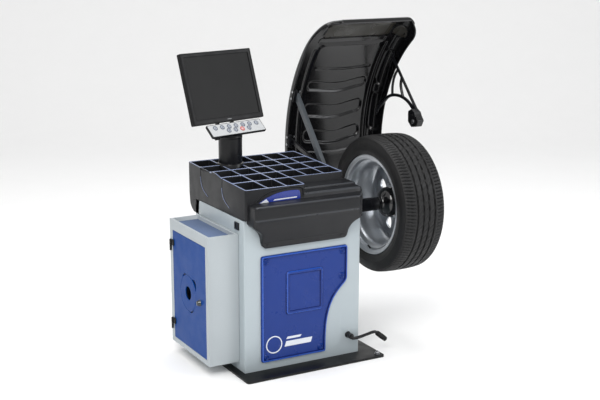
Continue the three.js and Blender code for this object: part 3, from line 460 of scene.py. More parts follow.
# ---------------------------------------------------------------- frame of the machine
cabinet_low, cabinet_high = millimetres("cabinet_body")
tray_low, tray_high = millimetres("weight_tray")
cowl_low, _ = millimetres("front_cowl")
panel_low, panel_high = millimetres("front_panel")
hood_low, hood_high = millimetres("hood_shell")
axis_y, axis_z = [v / MM for v in JOINTS["spindle_spin"]["pos_m"][1:]]
deck = 772.0                      # floor of the weight pockets
POCKET_WALL = 2.5                 # half the wall between two pockets
TRAY_FRONT_TOP, TRAY_RISE = 829, 0.041
cowl_right = cabinet_high.x


def tray_top(y):
    """The tray's top plane rises a little towards the back."""
    return TRAY_FRONT_TOP + TRAY_RISE * (y - tray_low.y)


# ---------------------------------------------------------------- weight tray
TRAY_STEP = -130.0                # back of the front-left block of pockets
BLOCK_RIGHT = middle("tray_divider_y3").x + 4
LEDGE_LEFT = 265.0
COLUMNS = [tray_low.x + 4] + [middle(f"tray_divider_y{i}").x for i in range(1, 6)] + [LEDGE_LEFT - 4]
ROWS = [TRAY_STEP + 1.5] + [middle(f"tray_divider_x{i}").y for i in range(1, 4)] + [tray_high.y - 4]


def pocket_cutter(x0, x1, y0, y1):
    """A pocket: a filleted floor, walls with a little draft and a rounded lip at the top."""
    levels = [(deck, 9), (deck + 0.8, 6), (deck + 3, 3.6), (deck + 7, 2.4)]
    rings = []
    for z, inset in levels:
        outline = rounded_rect(x0 + inset, x1 - inset, y0 + inset, y1 - inset, 8)
        rings.append([mm(x, y, z) for x, y in outline])
    for below, inset in ((5.0, 0.6), (2.0, 0.4), (0.9, -0.1), (0.2, -0.9), (-0.05, -1.7), (-30, -1.7)):
        outline = rounded_rect(x0 + inset, x1 - inset, y0 + inset, y1 - inset, 8 - inset)
        rings.append([mm(x, y, tray_top(y) - below) for x, y in outline])
    return loft("pocket", rings, "pocket_dark", smooth=False)


def bevel_edges(thing, wanted, width, segments=4):
    """Rounds the edges that a test picks out, for good."""
    work = bmesh.new()
    work.from_mesh(thing.data)
    edges = [e for e in work.edges if len(e.link_faces) == 2 and wanted(e)]
    bmesh.ops.bevel(work, geom=edges, offset=width * MM, segments=segments, affect="EDGES", profile=0.5)
    work.to_mesh(thing.data)
    work.free()


def runs_along(edge, axis, least=0.02):
    run = edge.verts[1].co - edge.verts[0].co
    return run.length > least and abs(run.normalized()[axis]) > 0.98


def weight_tray():
    front, back, low = tray_low.y, tray_high.y, 695.5
    skirt = cabinet_high.y - 45 + 4.5
    side = [(front, low), (skirt, low), (skirt, 626), (262, 629), (284, 640), (302, 658), (314, 682),
            (back, 712), (back, tray_top(back)), (front, tray_top(front))]
    body = slab("tray_body", side, "x", tray_low.x, LEDGE_LEFT, "tray_plastic")
    corner = block("corner", (BLOCK_RIGHT, 400), (front - 20, TRAY_STEP), (600, 900), "tray_plastic", 0)
    carve(body, corner)
    bevel_edges(body, lambda e: runs_along(e, 2, 0.03) and e.calc_face_angle(0) > 0.5, 9)
    bevel_edges(body, lambda e: e.calc_face_angle(0) > 0.5 and max(v.co.z for v in e.verts) > 0.8, 2.5, 3)
    wall = POCKET_WALL
    pockets = [pocket_cutter(left + wall, right - wall, near + wall, far - wall)
               for near, far in zip(ROWS, ROWS[1:]) for left, right in zip(COLUMNS, COLUMNS[1:])]
    for i in range(3):
        right = COLUMNS[i + 1] - (wall if i < 2 else 0.5)
        pockets.append(pocket_cutter(COLUMNS[i] + wall, right, front + 6.5, TRAY_STEP - 1.5))
    cutter = together("pockets", pockets)
    grooves = [[(183, 852), (182, 806), (172, 772), (150, 748), (108, 729)],
               [(-40, 846), (-38, 796), (-47, 764), (-70, 742), (-113, 722)]]

    def along_side(groove, x, shift=0.0):
        return smooth_path([(x, y + shift, z) for y, z in groove])

    lines = [swept("groove", along_side(groove, tray_low.x - 0.5), 4.2, "tray_plastic", 12)
             for groove in grooves]
    notch = [(186, 860), (186, 838), (168, 837), (92, 842.5), (74, 860)]
    dip = slab("dip", notch, "x", tray_low.x - 3, tray_low.x + 4, "tray_plastic")
    carve(body, cutter, *lines, dip)
    ledge = block("ledge", (LEDGE_LEFT - 6, cowl_right), (TRAY_STEP, back), (low, deck - 0.5),
                  "tray_plastic", 0)
    bevel_edges(ledge, lambda e: e.calc_face_angle(0) > 0.5 and min(v.co.x for v in e.verts) > 0.28, 5, 3)
    lip = [(72, 841), (64, 850), (20, 848), (-26, 838), (-30, 836), (-30, 833), (72, 838)]
    lobe = slab("lobe", lip, "x", tray_low.x + 0.3, tray_low.x + 4, "tray_plastic")
    # Thin light strips in the side grooves, a painted highlight.
    edges = [swept("edge", along_side(groove[1:], tray_low.x - 0.4, 3.4), 1.5, "tray_rib_highlight", 10, 0.8)
             for groove in grooves]
    stands(together("tray_groove_highlights", edges), "machine", slot="tray_plastic")
    tray = together("tray", [body, ledge, lobe])
    paint(tray, "tray_plastic", "tray_rib_highlight")
    # The rib tops take the lighter colour as a painted highlight.
    for face in tray.data.polygons:
        spot = face.center / MM
        if face.normal.z > 0.4 and spot.z > tray_top(spot.y) - 3.6 and spot.x < LEDGE_LEFT + 1:
            face.material_index = 1
    soften(tray, 38)
    dividers = [n for n in NODES if n.startswith("tray_divider")]
    return stands(tray, "machine", "weight_tray", *dividers)


def tray_front_badge():
    """A raised brow over a leaf-shaped plate, without lettering."""
    y = tray_low.y
    brow = smooth_path([(-252, y, 735), (-247, y, 756), (-232, y, 782), (-176, y, 810), (-96, y, 821),
                        (-34, y, 819), (-14, y, 806), (-12, y, 784)])
    stands(swept("tray_brow", brow, 4.5, "tray_plastic", 16, 0.7), "machine")
    crown = [(-226, 768), (-196, 784), (-152, 799), (-104, 807), (-44, 807), (-30, 797), (-27, 770)]
    leaf = [*map(tuple, smooth_path(crown, steps=4)), (-30, 767), (-140, 765.5), (-226, 765)]
    stands(slab("badge_plate", leaf, "y", y - 2.2, y + 1, "badge_blue", 0.8), "machine", slot="blue_panel")
    tip = [(-222, 768.2), (-200, 779), (-192, 782.5), (-180, 767.5), (-220, 767)]
    stripe = [(-160, 772), (-46, 774), (-44, 779), (-152, 778)]
    for name, outline in (("badge_tip", tip), ("badge_stripe", stripe)):
        mark = slab(name, outline, "y", y - 2.7, y, "badge_white", 0.3)
        stands(mark, "machine", slot="keypad_film")


# ---------------------------------------------------------------- cowl and nose
def interpolate(table, at):
    """The value and the slope at a place in a table of (place, value) pairs."""
    for (start, low), (end, high) in zip(table, table[1:]):
        if start <= at <= end:
            slope = (high - low) / (end - start)
            return low + slope * (at - start), slope
    return table[-1][1], 0.0


EDGE_R = 13.0                     # radius of the cowl's outer edges
INSETS = (0.0, 0.4, 1.4, 3.2, 6.0, 9.4, EDGE_R)
SIDE_TOP = 697                    # above this the cowl's side wall runs on under the ledge
CATCHLIGHTS = ((703, 710, -340, -320), (761.5, 766.5, -340, -322), (782, 787.6, -340, -252),
               (792.5, 797.5, -206, -196))      # painted highlights on the section's creases and edges, in z and y


def round_off(distance, radius):
    """How far a rounded edge falls back at a distance in from the outline."""
    short = max(0.0, radius - distance)
    return radius - sqrt(max(0.0, radius * radius - short * short))


def cowl_edges(z):
    """Left and right edge of the cowl at a height: full width above, drawn in below."""
    left = [(560, -199), (570, -207), (585, -211), (610, -216), (632, -226), (648, -244), (660, -262),
            (672, -275), (900, -276)]
    right = [(560, 203), (570, 212), (585, 216), (610, 219), (632, 228), (646, 244), (657, 264),
             (668, 284), (676, 289), (900, 289)]
    result = []
    for table in (left, right):
        for (z0, x0), (z1, x1) in zip(table, table[1:]):
            if z0 <= z <= z1:
                share = (z - z0) / (z1 - z0)
                share = share * share * (3 - 2 * share) if z > 700 else share
                result.append(x0 + (x1 - x0) * share)
                break
    return result


COWL_CORNER = [(-330, 49), (-318, 40), (-300, 27), (-284, 15.5), (-275, 10), (-262, 3.5), (-250, 0)]


def corner_x(y):
    """The cowl's right end in plan: swept back from its front face to its side wall."""
    return cowl_right - interpolate(COWL_CORNER, y)[0]


def cowl_section():
    """The cowl's section from its lower edge, over the brow, to the tray's wall: (y, z) pairs."""
    return [(-252, 564), (-259, 564.5), (-263, 567), (-265.5, 572), (-268, 588), (-269, 590.5), (-267.8, 593),
            (-270, 597), (-285, 628), (-300, 658), (-318, 692), (-324, 702), (-327.5, 706.5), (-329.5, 711),
            (-330, 718), (-330, 740), (-330, 757), (-329, 761), (-326, 764.6), (-320, 766), (-300, 766.6),
            (-270, 767.2), (-264.5, 768), (-262.5, 771), (-260.5, 781), (-257, 785.6), (-250, 787.4),
            (-215, 790), (-208, 790.8), (-205, 793), (-202, 796), (-198, 797.2), (-165, 798.5), (-130.6, 800)]


def resample(path, step):
    line = []
    for start, end in zip(path, path[1:]):
        start, end = Vector(start), Vector(end)
        count = max(1, round((end - start).length / step))
        line += [start.lerp(end, k / count) for k in range(count)]
    line.append(Vector(path[-1]))
    return line


def front_cowl():
    path = resample(cowl_section(), 9)
    rows = []
    for i, point in enumerate(path):
        ahead = (path[min(i + 1, len(path) - 1)] - path[max(i - 1, 0)]).normalized()
        inward = Vector((ahead.y, -ahead.x))
        left, right = cowl_edges(point.y)
        right = min(right, corner_x(point.x))
        inner = [left + d for d in INSETS]
        outer = [right - d for d in reversed(INSETS)]
        between = [inner[-1] + (outer[0] - inner[-1]) * k / 24 for k in range(1, 24)]
        row = []
        for x in inner + between + outer:
            fall = round_off(min(x - left, right - x), EDGE_R)
            y, z = point + inward * fall
            row.append(mm(x, y, z))
        rows.append(row)
    width = len(rows[0])
    points = [p for row in rows for p in row]
    faces = grid(len(rows), width)
    back = cabinet_low.y - 0.4
    for column in (0, width - 1):
        previous = None
        for r, row in enumerate(rows):
            edge = row[column] / MM
            _, limit = cowl_edges(edge.z)
            chain = [r * width + column]
            if column:
                for y, _ in COWL_CORNER[1:]:
                    near = max(y, edge.y)
                    points.append(Vector((max(edge.x, min(limit, corner_x(near))), near, edge.z)) * MM)
                    chain.append(len(points) - 1)
            reach = back if edge.z < SIDE_TOP else path[-1].x
            end = Vector((points[chain[-1]].x / MM, max(reach, edge.y), min(edge.z, SIDE_TOP)))
            points.append(end * MM)
            chain.append(len(points) - 1)
            if previous:
                for k in range(len(chain) - 1):
                    faces.append((previous[k], chain[k], chain[k + 1], previous[k + 1]))
            previous = chain
    cowl = from_faces("cowl", points, faces, "tray_plastic", smooth=False)
    # The creases and edges listed in CATCHLIGHTS take the lighter grey as a painted highlight.
    cowl.data.materials.append(MATERIALS["cowl_crease_highlight"])
    for face in cowl.data.polygons:
        _, y, z = face.center / MM
        if any(z0 < z < z1 and y0 < y < y1 for z0, z1, y0, y1 in CATCHLIGHTS):
            face.material_index = 1
    soften(cowl, 40)
    return cowl


NOSE_END = 392.0
NOSE_BORE = 33                    # radius of the opening round the spindle's housing


def nose():
    """The cowl's tapering nose round the spindle, a rounded box drawn down to a collar."""
    start = cowl_right + 0.3
    stations = [(start - 0.2, -252, 20, 640, 778), (330, -152, 5, 622, 758), (365, -112, -14, 611, 734),
                (NOSE_END - 8, -101, -24, 607, 713), (NOSE_END, -99, -27, 607, 707)]
    knots = [Vector(s) for s in stations]
    lines = []
    for a, b in zip(knots, knots[1:]):
        lines += [a.lerp(b, k / 5) for k in range(5)]
    lines.append(knots[-1])
    rings = []
    for x, y0, y1, z0, z1 in lines:
        share = (x - start) / (NOSE_END - start)
        bow = sin(pi * min(1, max(0, share))) * 5
        radius = 16 + 10 * share
        outline = rounded_rect(y0 + bow, y1 - bow, z0 + bow, z1 - bow, radius, 8)
        rings.append([mm(x, y, z) for y, z in outline])
    first = sum(rings[0], Vector()) / len(rings[0])
    rings.insert(0, [first + (p - first) * 0.02 for p in rings[0]])
    last = rings[-1]
    centre = sum(last, Vector()) / len(last)
    for push, shrink in ((1.2, 0.97), (1.2, 0.86), (-2.0, 0.84)):
        rings.append([centre + (p - centre) * shrink + Vector((push * MM, 0, 0)) for p in last])
    axis = Vector((0, axis_y, axis_z)) * MM
    for k, p in enumerate(rings[-1]):
        away = Vector((0, p.y - axis.y, p.z - axis.z)).normalized() * NOSE_BORE * MM
        rings[-1][k] = Vector((p.x, axis.y + away.y, axis.z + away.z))
    shell = loft("nose", rings, "tray_plastic", caps=False, smooth=False)
    soften(shell, 42)
    return shell


def cowl_and_nose():
    piece = together("cowl_and_nose", [front_cowl(), nose()])
    stands(piece, "machine", "front_cowl", "spindle_shroud")
    for x in (cowl_low.x + 88, 178):
        screw("cowl_screw", (x, -267.5, 581), (0, -0.97, -0.15), 4.5, "black_steel", "machine")


# ---------------------------------------------------------------- front panel
def panel_right_edge(z):
    """The panel's right side: straight down, in along an S-curve over the pedal, and down again."""
    knots = [(45, 112.5), (110, 112.5), (150, 114), (186, 117.5), (214, 122.5), (240, 129.5), (266, 139.5),
             (290, 152), (312, 168), (330, 184), (343, 197), (353, 207), (361, 214), (369, 218.5),
             (378, 220.6), (388, 221), (529, 221)]
    return interpolate(knots, z)


PANEL_CORNER = 12.0
PANEL_FRAME = (-88, 94, 250, 442, 12)      # the raised square: x, z and corner radius


def bead(distance):
    """The panel's section, in from its outline: a proud rounded bead, then a recessed field."""
    if distance < 4:
        return 3.0 + 7.5 * sin(pi / 2 * distance / 4)
    if distance < 9:
        return 10.5
    if distance < 13:
        return 10.5 - 8.0 * (0.5 - 0.5 * cos(pi * (distance - 9) / 4))
    return 2.5


def rect_distance(x, z, x0, x1, z0, z1, radius):
    """Signed distance in from a rounded rectangle."""
    dx = abs(x - (x0 + x1) / 2) - (x1 - x0) / 2 + radius
    dz = abs(z - (z0 + z1) / 2) - (z1 - z0) / 2 + radius
    outside = hypot(max(dx, 0), max(dz, 0)) + min(max(dx, dz), 0) - radius
    return -outside


def smooth_step(value, low, high):
    share = min(1.0, max(0.0, (value - low) / (high - low)))
    return share * share * (3 - 2 * share)


def panel_height(x, z, distance, spots):
    height = bead(distance)
    frame_in = rect_distance(x, z, *PANEL_FRAME)
    height += 6.5 * smooth_step(frame_in, -2, 2) - 5.5 * smooth_step(frame_in, 11, 15)
    for sx, sz in spots:
        gap = hypot(x - sx, z - sz)
        height += (9.5 - height) * (1 - smooth_step(gap, 11, 15)) - 4.5 * (1 - smooth_step(gap, 6.5, 8.5))
    return height


EMBLEM_X, EMBLEM_Z = -148.0, 120.0        # centre of the plain ring on the panel


def front_panel():
    left, low, high = panel_low.x, panel_low.z, panel_high.z
    face = panel_high.y
    spots = [(left + 26, high - 26), (195, high - 26), (193, 388), (86, low + 26), (left + 26, low + 24)]
    edge = [0, 0.8, 1.8, 3, 4, 6.5, 9, 10.3, 11.7, 13, 15, 18]
    heights = [low + d for d in edge] + [high - d for d in edge]
    heights += [low + 18 + (high - low - 36) * k / 220 for k in range(221)]
    levels = sorted({round(z, 3) for z in heights})
    points, relief = [], []
    for z in levels:
        side, slope = panel_right_edge(z)
        lean = 1 / hypot(1, slope)
        near = min(z - low, high - z)
        x0, x1 = left + round_off(near, PANEL_CORNER), side - round_off(near, PANEL_CORNER)
        xs = [x0 + d for d in edge] + [x1 - d for d in edge]
        xs += [x0 + 18 + (x1 - x0 - 36) * k / 190 for k in range(1, 190)]
        xs = sorted(xs)
        columns = len(xs)
        for x in xs:
            across = min(x - x0, (x1 - x) * lean)
            if near < PANEL_CORNER and across < PANEL_CORNER:
                flat = min(x - left, side - x)
                gap = hypot(PANEL_CORNER - near, PANEL_CORNER - min(flat, PANEL_CORNER))
                distance = max(0.0, PANEL_CORNER - gap)
            else:
                distance = min(near, across)
            y = face - panel_height(x, z, distance, spots)
            points.append(mm(x, y, z))
            # Painted light: the crests of the bead and of the raised square get a lighter blue as painted
            # highlight, and the grooves beside them get a darker blue as painted shade.
            frame_in = rect_distance(x, z, *PANEL_FRAME)
            crest = 2.5 < distance < 8.6 or -0.5 < frame_in < 4
            groove = 9.5 < distance < 12.6 or 11.2 < frame_in < 14.6 or -3.5 < frame_in <= -0.5
            relief.append(1 if crest else 2 if groove else 0)
    faces = grid(len(levels), columns)
    rim = (list(range(columns)) + [r * columns + columns - 1 for r in range(1, len(levels))]
           + [(len(levels) - 1) * columns + i for i in range(columns - 2, -1, -1)]
           + [r * columns for r in range(len(levels) - 2, 0, -1)])
    base = len(points)
    points += [Vector((points[i].x, (face - 0.2) * MM, points[i].z)) for i in rim]
    for k in range(len(rim)):
        n = (k + 1) % len(rim)
        faces.append((rim[k], base + k, base + n, rim[n]))
    panel = from_faces("blue_front_panel", points, faces, "blue_panel", smooth=False)
    # Lighter blue for the painted highlight, darker blue for the painted shade.
    panel.data.materials.append(MATERIALS["panel_crest_highlight"])
    panel.data.materials.append(MATERIALS["panel_groove_shade"])
    for polygon, corners in zip(panel.data.polygons, faces):
        if corners[0] < len(relief) and corners[2] < len(relief):
            polygon.material_index = relief[corners[0]]
    soften(panel, 45)
    stands(panel, "machine", "front_panel")
    for x, z in spots:
        screw("panel_screw", (x, face - 5.6, z), (0, -1, 0), 5.0, "blue_panel", "machine")
    ring = turned("panel_emblem", [(0, 40), (1.6, 40), (2.2, 39.4), (2.2, 35.6), (1.6, 35), (0, 35)],
                  "badge_white", axis="y", segments=72)
    ring.data.transform(Matrix.Translation(mm(EMBLEM_X, face - 2.3, EMBLEM_Z))
                        @ Matrix.Rotation(pi, 4, "Z"))
    stands(ring, "machine", slot="keypad_film")
    for start, end, z, tall in ((52, 192, -18, 24), (60, 138, 16, 10)):
        x0, x1, z = EMBLEM_X + start, EMBLEM_X + end, EMBLEM_Z + z
        outline = [(x0, z), (x1 - 8, z), (x1, z + tall), (x0 + 8, z + tall)]
        bar = slab("panel_bar", outline, "y", face - 4.4, face - 2.0, "badge_white", 0.4)
        stands(bar, "machine", slot="keypad_film")


# ---------------------------------------------------------------- hood
ARC_Y, ARC_Z, ARC_R = -320.0, 843.0, 769.0
LOWEST, TOP_ROW = -12.0, 56.0      # degrees round the arc
SKIN = 4.0
DISC_X, DISC_TURN = 765, 48.6      # the round boss in the top right corner
MM_PER_DEGREE = ARC_R * pi / 180


def soft_box(x, a, x0, x1, a0, a1, soft=7.0, corner=14.0):
    """1 inside a rounded rectangle on the hood's sheet, falling to 0 over a soft edge."""
    inside = rect_distance(x, a * MM_PER_DEGREE, x0, x1, a0 * MM_PER_DEGREE, a1 * MM_PER_DEGREE, corner)
    return smooth_step(inside, -soft / 2, soft / 2)


def hood_relief(s, a):
    """The sheet's relief: positive towards the wheel. s runs across, as X does on the flat part."""
    fields = ((4.0, 366, 716, -14, 42.0, 8, 30), (-5.0, 350, 716, 42.6, 45.4, 8, 10),
              (-6.0, 717, 741, -14, 42.5, 9, 10), (-4.0, 346, 362, -14, 40.0, 10, 8),
              (3.0, 352, 700, 46.2, 53.2, 10, 20), (-7.0, 752, 836, 4.6, 19.2, 9, 26),
              (-7.0, 756, 842, 22.8, 38.6, 9, 26))
    relief = sum(lift * soft_box(s, a, *box) for lift, *box in fields)
    for low, high, left in ((1.6, 6.0, 384), (11.4, 16.2, 378), (21.8, 25.4, 372)):
        bow = 1.1 * sin(pi * smooth_step(s, left, 700)) - 0.7 * smooth_step(s, 560, 700)
        relief -= 9.0 * soft_box(s, a + bow, left, 700, low, high, 9, 24)
    for ridge in (-2.6, 31.2):
        bow = 0.7 * sin(pi * smooth_step(s, 380, 700))
        relief += 3.2 * soft_box(s, a + bow, 386, 694, ridge - 0.35, ridge + 0.35, 6, 3)
    spot = hypot(s - DISC_X - 10, (a - DISC_TURN) * MM_PER_DEGREE)
    relief += 3.0 * (1 - smooth_step(spot, 30, 34))
    return relief - 2.5 * (smooth_step(spot, 34, 37) - smooth_step(spot, 38, 42))


def hood_extents(a):
    """Left and right wall of the hood at an angle, and the right wall's depth."""
    left, right, deep = hood_low.x, hood_high.x, 86.0
    deep_left = 32 - 18 * smooth_step(a, 30, 52)
    if a > 40:
        t = asin(min(1.0, (a - 40) / (TOP_ROW - 40))) * 2 / pi
        drop = 1 - sqrt(1 - 0.97 * t * t)
        left += 128 * drop
        right -= 14 * max(0.0, drop - 0.3)
    if a > 51.5:
        share = (a - 51.5) / (TOP_ROW - 51.5)
        deep -= 48 * (1 - sqrt(max(0.0, 1 - min(1.0, share) ** 2)))
    return left, right, deep_left, deep


def hood_row(a, inset):
    """One row across the hood: (x, depth in from the skin, s, outward normal in x and depth)."""
    left, right, deep_left, deep_right = hood_extents(a)
    left, right = left + inset * 0.3, right - inset * 0.2
    bl, br = 16.0, 38.0
    row = []
    for k in range(8):
        depth = deep_left + (bl - deep_left) * k / 8
        row.append((left, depth, left - depth + bl * 0.4, (1, 0)))
    for k in range(5):
        turn = pi / 2 * k / 5
        row.append((left + bl - bl * cos(turn), bl - bl * sin(turn), left + bl * turn * 0.6,
                    (cos(turn), sin(turn))))
    count = 118
    for k in range(count + 1):
        x = left + bl + (right - br - left - bl) * k / count
        row.append((x, 0.0, x, (0, 1)))
    for k in range(1, 9):
        turn = pi / 2 * k / 8
        row.append((right - br + br * sin(turn), br - br * cos(turn), right - br + br * turn,
                    (-sin(turn), cos(turn))))
    for k in range(1, 17):
        depth = br + (deep_right - br) * k / 16
        row.append((right, depth, right - br + br * pi / 2 + depth - br, (-1, 0)))
    return row


def hood_shell():
    rows = [(LOWEST + (TOP_ROW - LOWEST) * k / 205, 0.0) for k in range(206)]
    curl = 11.0
    for k in range(1, 8):
        turn = pi / 2 * k / 7
        rows.append((TOP_ROW + curl * sin(turn) / MM_PER_DEGREE, curl * (1 - cos(turn))))
    rows += [(TOP_ROW + curl / MM_PER_DEGREE, curl + step) for step in (4, 9)]
    points = []
    for a, inset in rows:
        row = hood_row(a, inset)
        width = len(row)
        turn = radians(a)
        for x, depth, s, (nx, nd) in row:
            lift = hood_relief(s, a) if inset < 12 else 0.0
            if depth > 60:
                lift *= max(0.0, (80 - depth) / 20)
            inward = max(depth, inset) + SKIN + lift * nd
            r = ARC_R - inward
            point = (x + nx * (SKIN + lift), ARC_Y + r * cos(turn), ARC_Z + r * sin(turn))
            points.append(Vector(point) * MM)
    shell = from_faces("hood", points, grid(len(rows), width), "hood_plastic", smooth=False)
    centre = mm(530, ARC_Y, ARC_Z)
    work = bmesh.new()
    work.from_mesh(shell.data)
    work.faces.ensure_lookup_table()
    face = work.faces[len(work.faces) // 2]
    if face.normal.dot(centre - face.calc_center_median()) < 0:
        bmesh.ops.reverse_faces(work, faces=work.faces)
    work.to_mesh(shell.data)
    work.free()
    thick = shell.modifiers.new("skin", "SOLIDIFY")
    thick.thickness = SKIN * 0.9 * MM
    thick.offset = -1
    baked(shell)
    soften(shell, 50)
    edge = [points[r * width] for r in range(len(rows))]
    edge += [points[(len(rows) - 1) * width + i] for i in range(1, width)]
    edge += [points[r * width + width - 1] for r in range(len(rows) - 2, -1, -1)]
    path = [edge[0] / MM]
    for p in edge[1:]:
        if (p / MM - path[-1]).length > 7:
            path.append(p / MM)
    lip = swept("hood_lip", path, 3.6, "hood_plastic", 10)
    shell = together("hood_skin", [shell, lip])
    shell.data.materials.append(MATERIALS["hood_olive"])
    for face in shell.data.polygons:
        x, y, z = face.center / MM
        a = math.degrees(atan2(z - ARC_Z, y - ARC_Y))
        in_band = 46.4 < a < 53.2 and 356 < x < 716
        on_disc = hypot(x - DISC_X, (a - DISC_TURN) * MM_PER_DEGREE) < 33
        if (in_band or on_disc) and face.normal.dot(Vector((0, ARC_Y - y, ARC_Z - z)).normalized()) > 0.3:
            face.material_index = len(shell.data.materials) - 1
    return stands(shell, "hood", "hood_shell")


def on_hood(x, r, degrees):
    turn = radians(degrees)
    return Vector((x, ARC_Y + r * cos(turn), ARC_Z + r * sin(turn)))


def flat_bar(name, start, end, width, x0, x1, material, bevel=1.5):
    """A flat bar in a plane of constant X."""
    along = (end - start).normalized()
    side = Vector((0, -along.z, along.y)) * (width / 2)
    outline = [start + side, start - side, end - side, end + side]
    return slab(name, [(p.y, p.z) for p in outline], "x", x0, x1, material, bevel)


ARM_TURN, BRACE_TURN = 21.5, 3.2          # where the arm and its brace meet the hood's left wall


def hood_arm():
    arm_low, _ = millimetres("hood_arm")
    pivot = Vector(JOINTS["hood_hinge"]["pos_m"]) / MM
    x0, x1 = 296.0, 316.0
    start = Vector((0, pivot.y, pivot.z))
    upper = flat_bar("hood_arm_main", start, on_hood(0, 742, ARM_TURN), 30, x0, x1, "arm_paint", 3)
    stands(upper, "hood", "hood_arm")
    lower = flat_bar("hood_arm_brace", start, on_hood(0, 744, BRACE_TURN), 20, x0 + 3, x1 - 3, "black_steel",
                     2)
    stands(lower, "hood")
    hub = turned("hood_hub", bar_profile(x0 - 4, x1 + 6, 24, 2, bore=9), "black_steel", (pivot.y, pivot.z),
                 segments=64)
    stands(hub, "hood")
    axle = turned("hood_axle", [(arm_low.x, 0), (arm_low.x, 9), (arm_low.x + 1, 10), (x1 + 11, 10),
                                (x1 + 13, 8), (x1 + 13, 0)], "steel", (pivot.y, pivot.z), segments=40)
    stands(axle, "hood")
    for angle in (ARM_TURN, BRACE_TURN):
        pad = flat_bar("hood_pad", on_hood(0, 736, angle - 2.4), on_hood(0, 736, angle + 2.4), 30,
                       hood_low.x + 4.5, x0 + 2, "black_steel", 2)
        stands(pad, "hood")
        for shift in (-1.4, 1.4):
            spot = on_hood(hood_low.x, 736, angle + shift)
            screw("hood_screw", (hood_low.x + 0.4, spot.y, spot.z), (-1, 0, 0), 6, "steel", "hood")
            screw("hood_bolt", (x1 - 0.2, spot.y, spot.z), (1, 0, 0), 5, "steel", "hood")


# ---------------------------------------------------------------- measuring arm on the hood
def sensor_arm():
    x = JOINTS["sensor_swing"]["pos_m"][0] / MM
    lower, upper = on_hood(x, 716, 13.4), on_hood(x, 722, 37.2)
    along = (upper - lower).normalized()

    def line(*points):
        return [Vector((x, y, z)) for y, z in points]

    bars = [
        swept("rod", [upper, Vector((x, 38, 1046))], 7, "black_steel"),
        swept("arch", smooth_path([lower] + line((330, 1048), (282, 1084), (226, 1098), (165, 1096),
                                                 (110, 1078), (58, 1042))), 8, "black_steel"),
        swept("brace_rear", smooth_path(line((206, 1227), (236, 1186), (250, 1140), (250, 1095))), 6.4,
              "black_steel"),
        swept("brace_middle", smooth_path(line((172, 1190), (179, 1150), (158, 1094))), 7, "black_steel"),
        swept("neck", line((112, 1079), (39, 1045)), 7, "black_steel"),
        swept("knuckle_low", [lower - along * 18, lower + along * 18], 7.2, "black_steel"),
        swept("knuckle_high", [upper - along * 18, upper + along * 18], 7.2, "black_steel"),
        swept("pin", [lower - along * 30, upper + along * 30], 3, "black_steel", 12),
    ]
    stands(together("measuring_arm", bars), "sensor", "sensor_arm")


def sensor_head():
    low, high = millimetres("sensor_head")
    outline = [(78, 1036), (46, 1052), (20, 1038), (-8, 1004), (8, 974), (48, 967), (76, 990)]
    head = slab("measuring_head", outline, "x", low.x, high.x, "black_plastic", 4, 3)
    stands(head, "sensor", "sensor_head")
    cap = [(75, 1041), (47, 1055), (21, 1041), (10, 1020), (30, 1027), (66, 1030)]
    stands(slab("measuring_cap", cap, "x", low.x - 1.5, high.x + 0.5, "black_steel", 2), "sensor")
    lens = turned("measuring_lens", [(low.x - 4, 0), (low.x - 4, 9), (low.x - 2.5, 11), (low.x + 2, 11.5),
                                     (low.x + 2, 0)], "steel", (34, 996), segments=40)
    stands(lens, "sensor")


# ---------------------------------------------------------------- wheel
TYRE_SIPES = 126
SECTION_STEP = 2.6


def tyre_profile():
    """The tyre's outside, from the inner bead over the crown to the outer bead, and its inside."""
    low, high = millimetres("tyre")
    a, b = low.x, high.x
    middle_x = (a + b) / 2
    half = [(461.5, 220.8), (457.3, 224.2), (454.8, 229), (454.2, 233.5), (453.2, 235.3), (449.5, 236.3),
            (447.6, 237.6), (446.8, 240), (444.5, 245), (442, 252), (440.8, 260), (440.4, 266), (439.6, 268),
            (439.9, 270), (440.4, 276), (441.2, 284), (443.2, 293), (446.5, 301), (448, 304), (447.6, 305.5),
            (449.6, 308), (454, 312.2), (460, 315.4)]
    crown = []
    x = 462.0
    while x < middle_x - 0.1:
        share = (middle_x - x) / (middle_x - 460)
        crown.append((x, 321 - 5.2 * share ** 3))
        x += SECTION_STEP
    left = half + crown
    right = [(a + b - x, r) for x, r in reversed(left)]
    inside = [(a + b - 464, 222), (a + b - 455, 238), (a + b - 453, 276), (a + b - 464, 303), (552, 306),
              (464, 303), (453, 276), (455, 238), (464, 222)]
    return left + [(middle_x, 321)] + right + inside, middle_x


def tread_cut(offset, turn):
    """How deep the tread is cut at a distance from its middle and an angle in sipe pitches."""
    side = abs(offset)
    depth = 0.0
    for groove, half in ((14.0, 4.2), (46.0, 4.6)):
        wave = 0.8 * sin(2 * pi * turn / 3)
        depth = max(depth, 7.0 * (1 - smooth_step(abs(side - groove - wave), half - 1.4, half + 0.6)))
    phase = turn % 1.0
    if 56 < side < 98:
        lean = (side - 56) / 42 * 0.35
        gap = abs(((phase + lean) % 1.0) - 0.5)
        depth = max(depth, 4.8 * (1 - smooth_step(gap, 0.08, 0.2)) * smooth_step(side, 56, 62))
    elif 18.5 < side < 41:
        lean = (side - 18.5) / 22 * 0.9 * (1 if offset > 0 else -1)
        gap = abs(((turn / 1.5 + lean) % 1.0) - 0.5)
        reach = 0.5 + 0.5 * sin(2 * pi * (turn / 1.5) * 0.37)
        depth = max(depth, 2.6 * (1 - smooth_step(gap, 0.05, 0.15)) * (0.35 + 0.65 * reach))
    elif side < 9.5:
        gap = abs(((turn / 2 + offset / 30) % 1.0) - 0.5)
        depth = max(depth, 2.0 * (1 - smooth_step(gap, 0.05, 0.12)))
    return depth


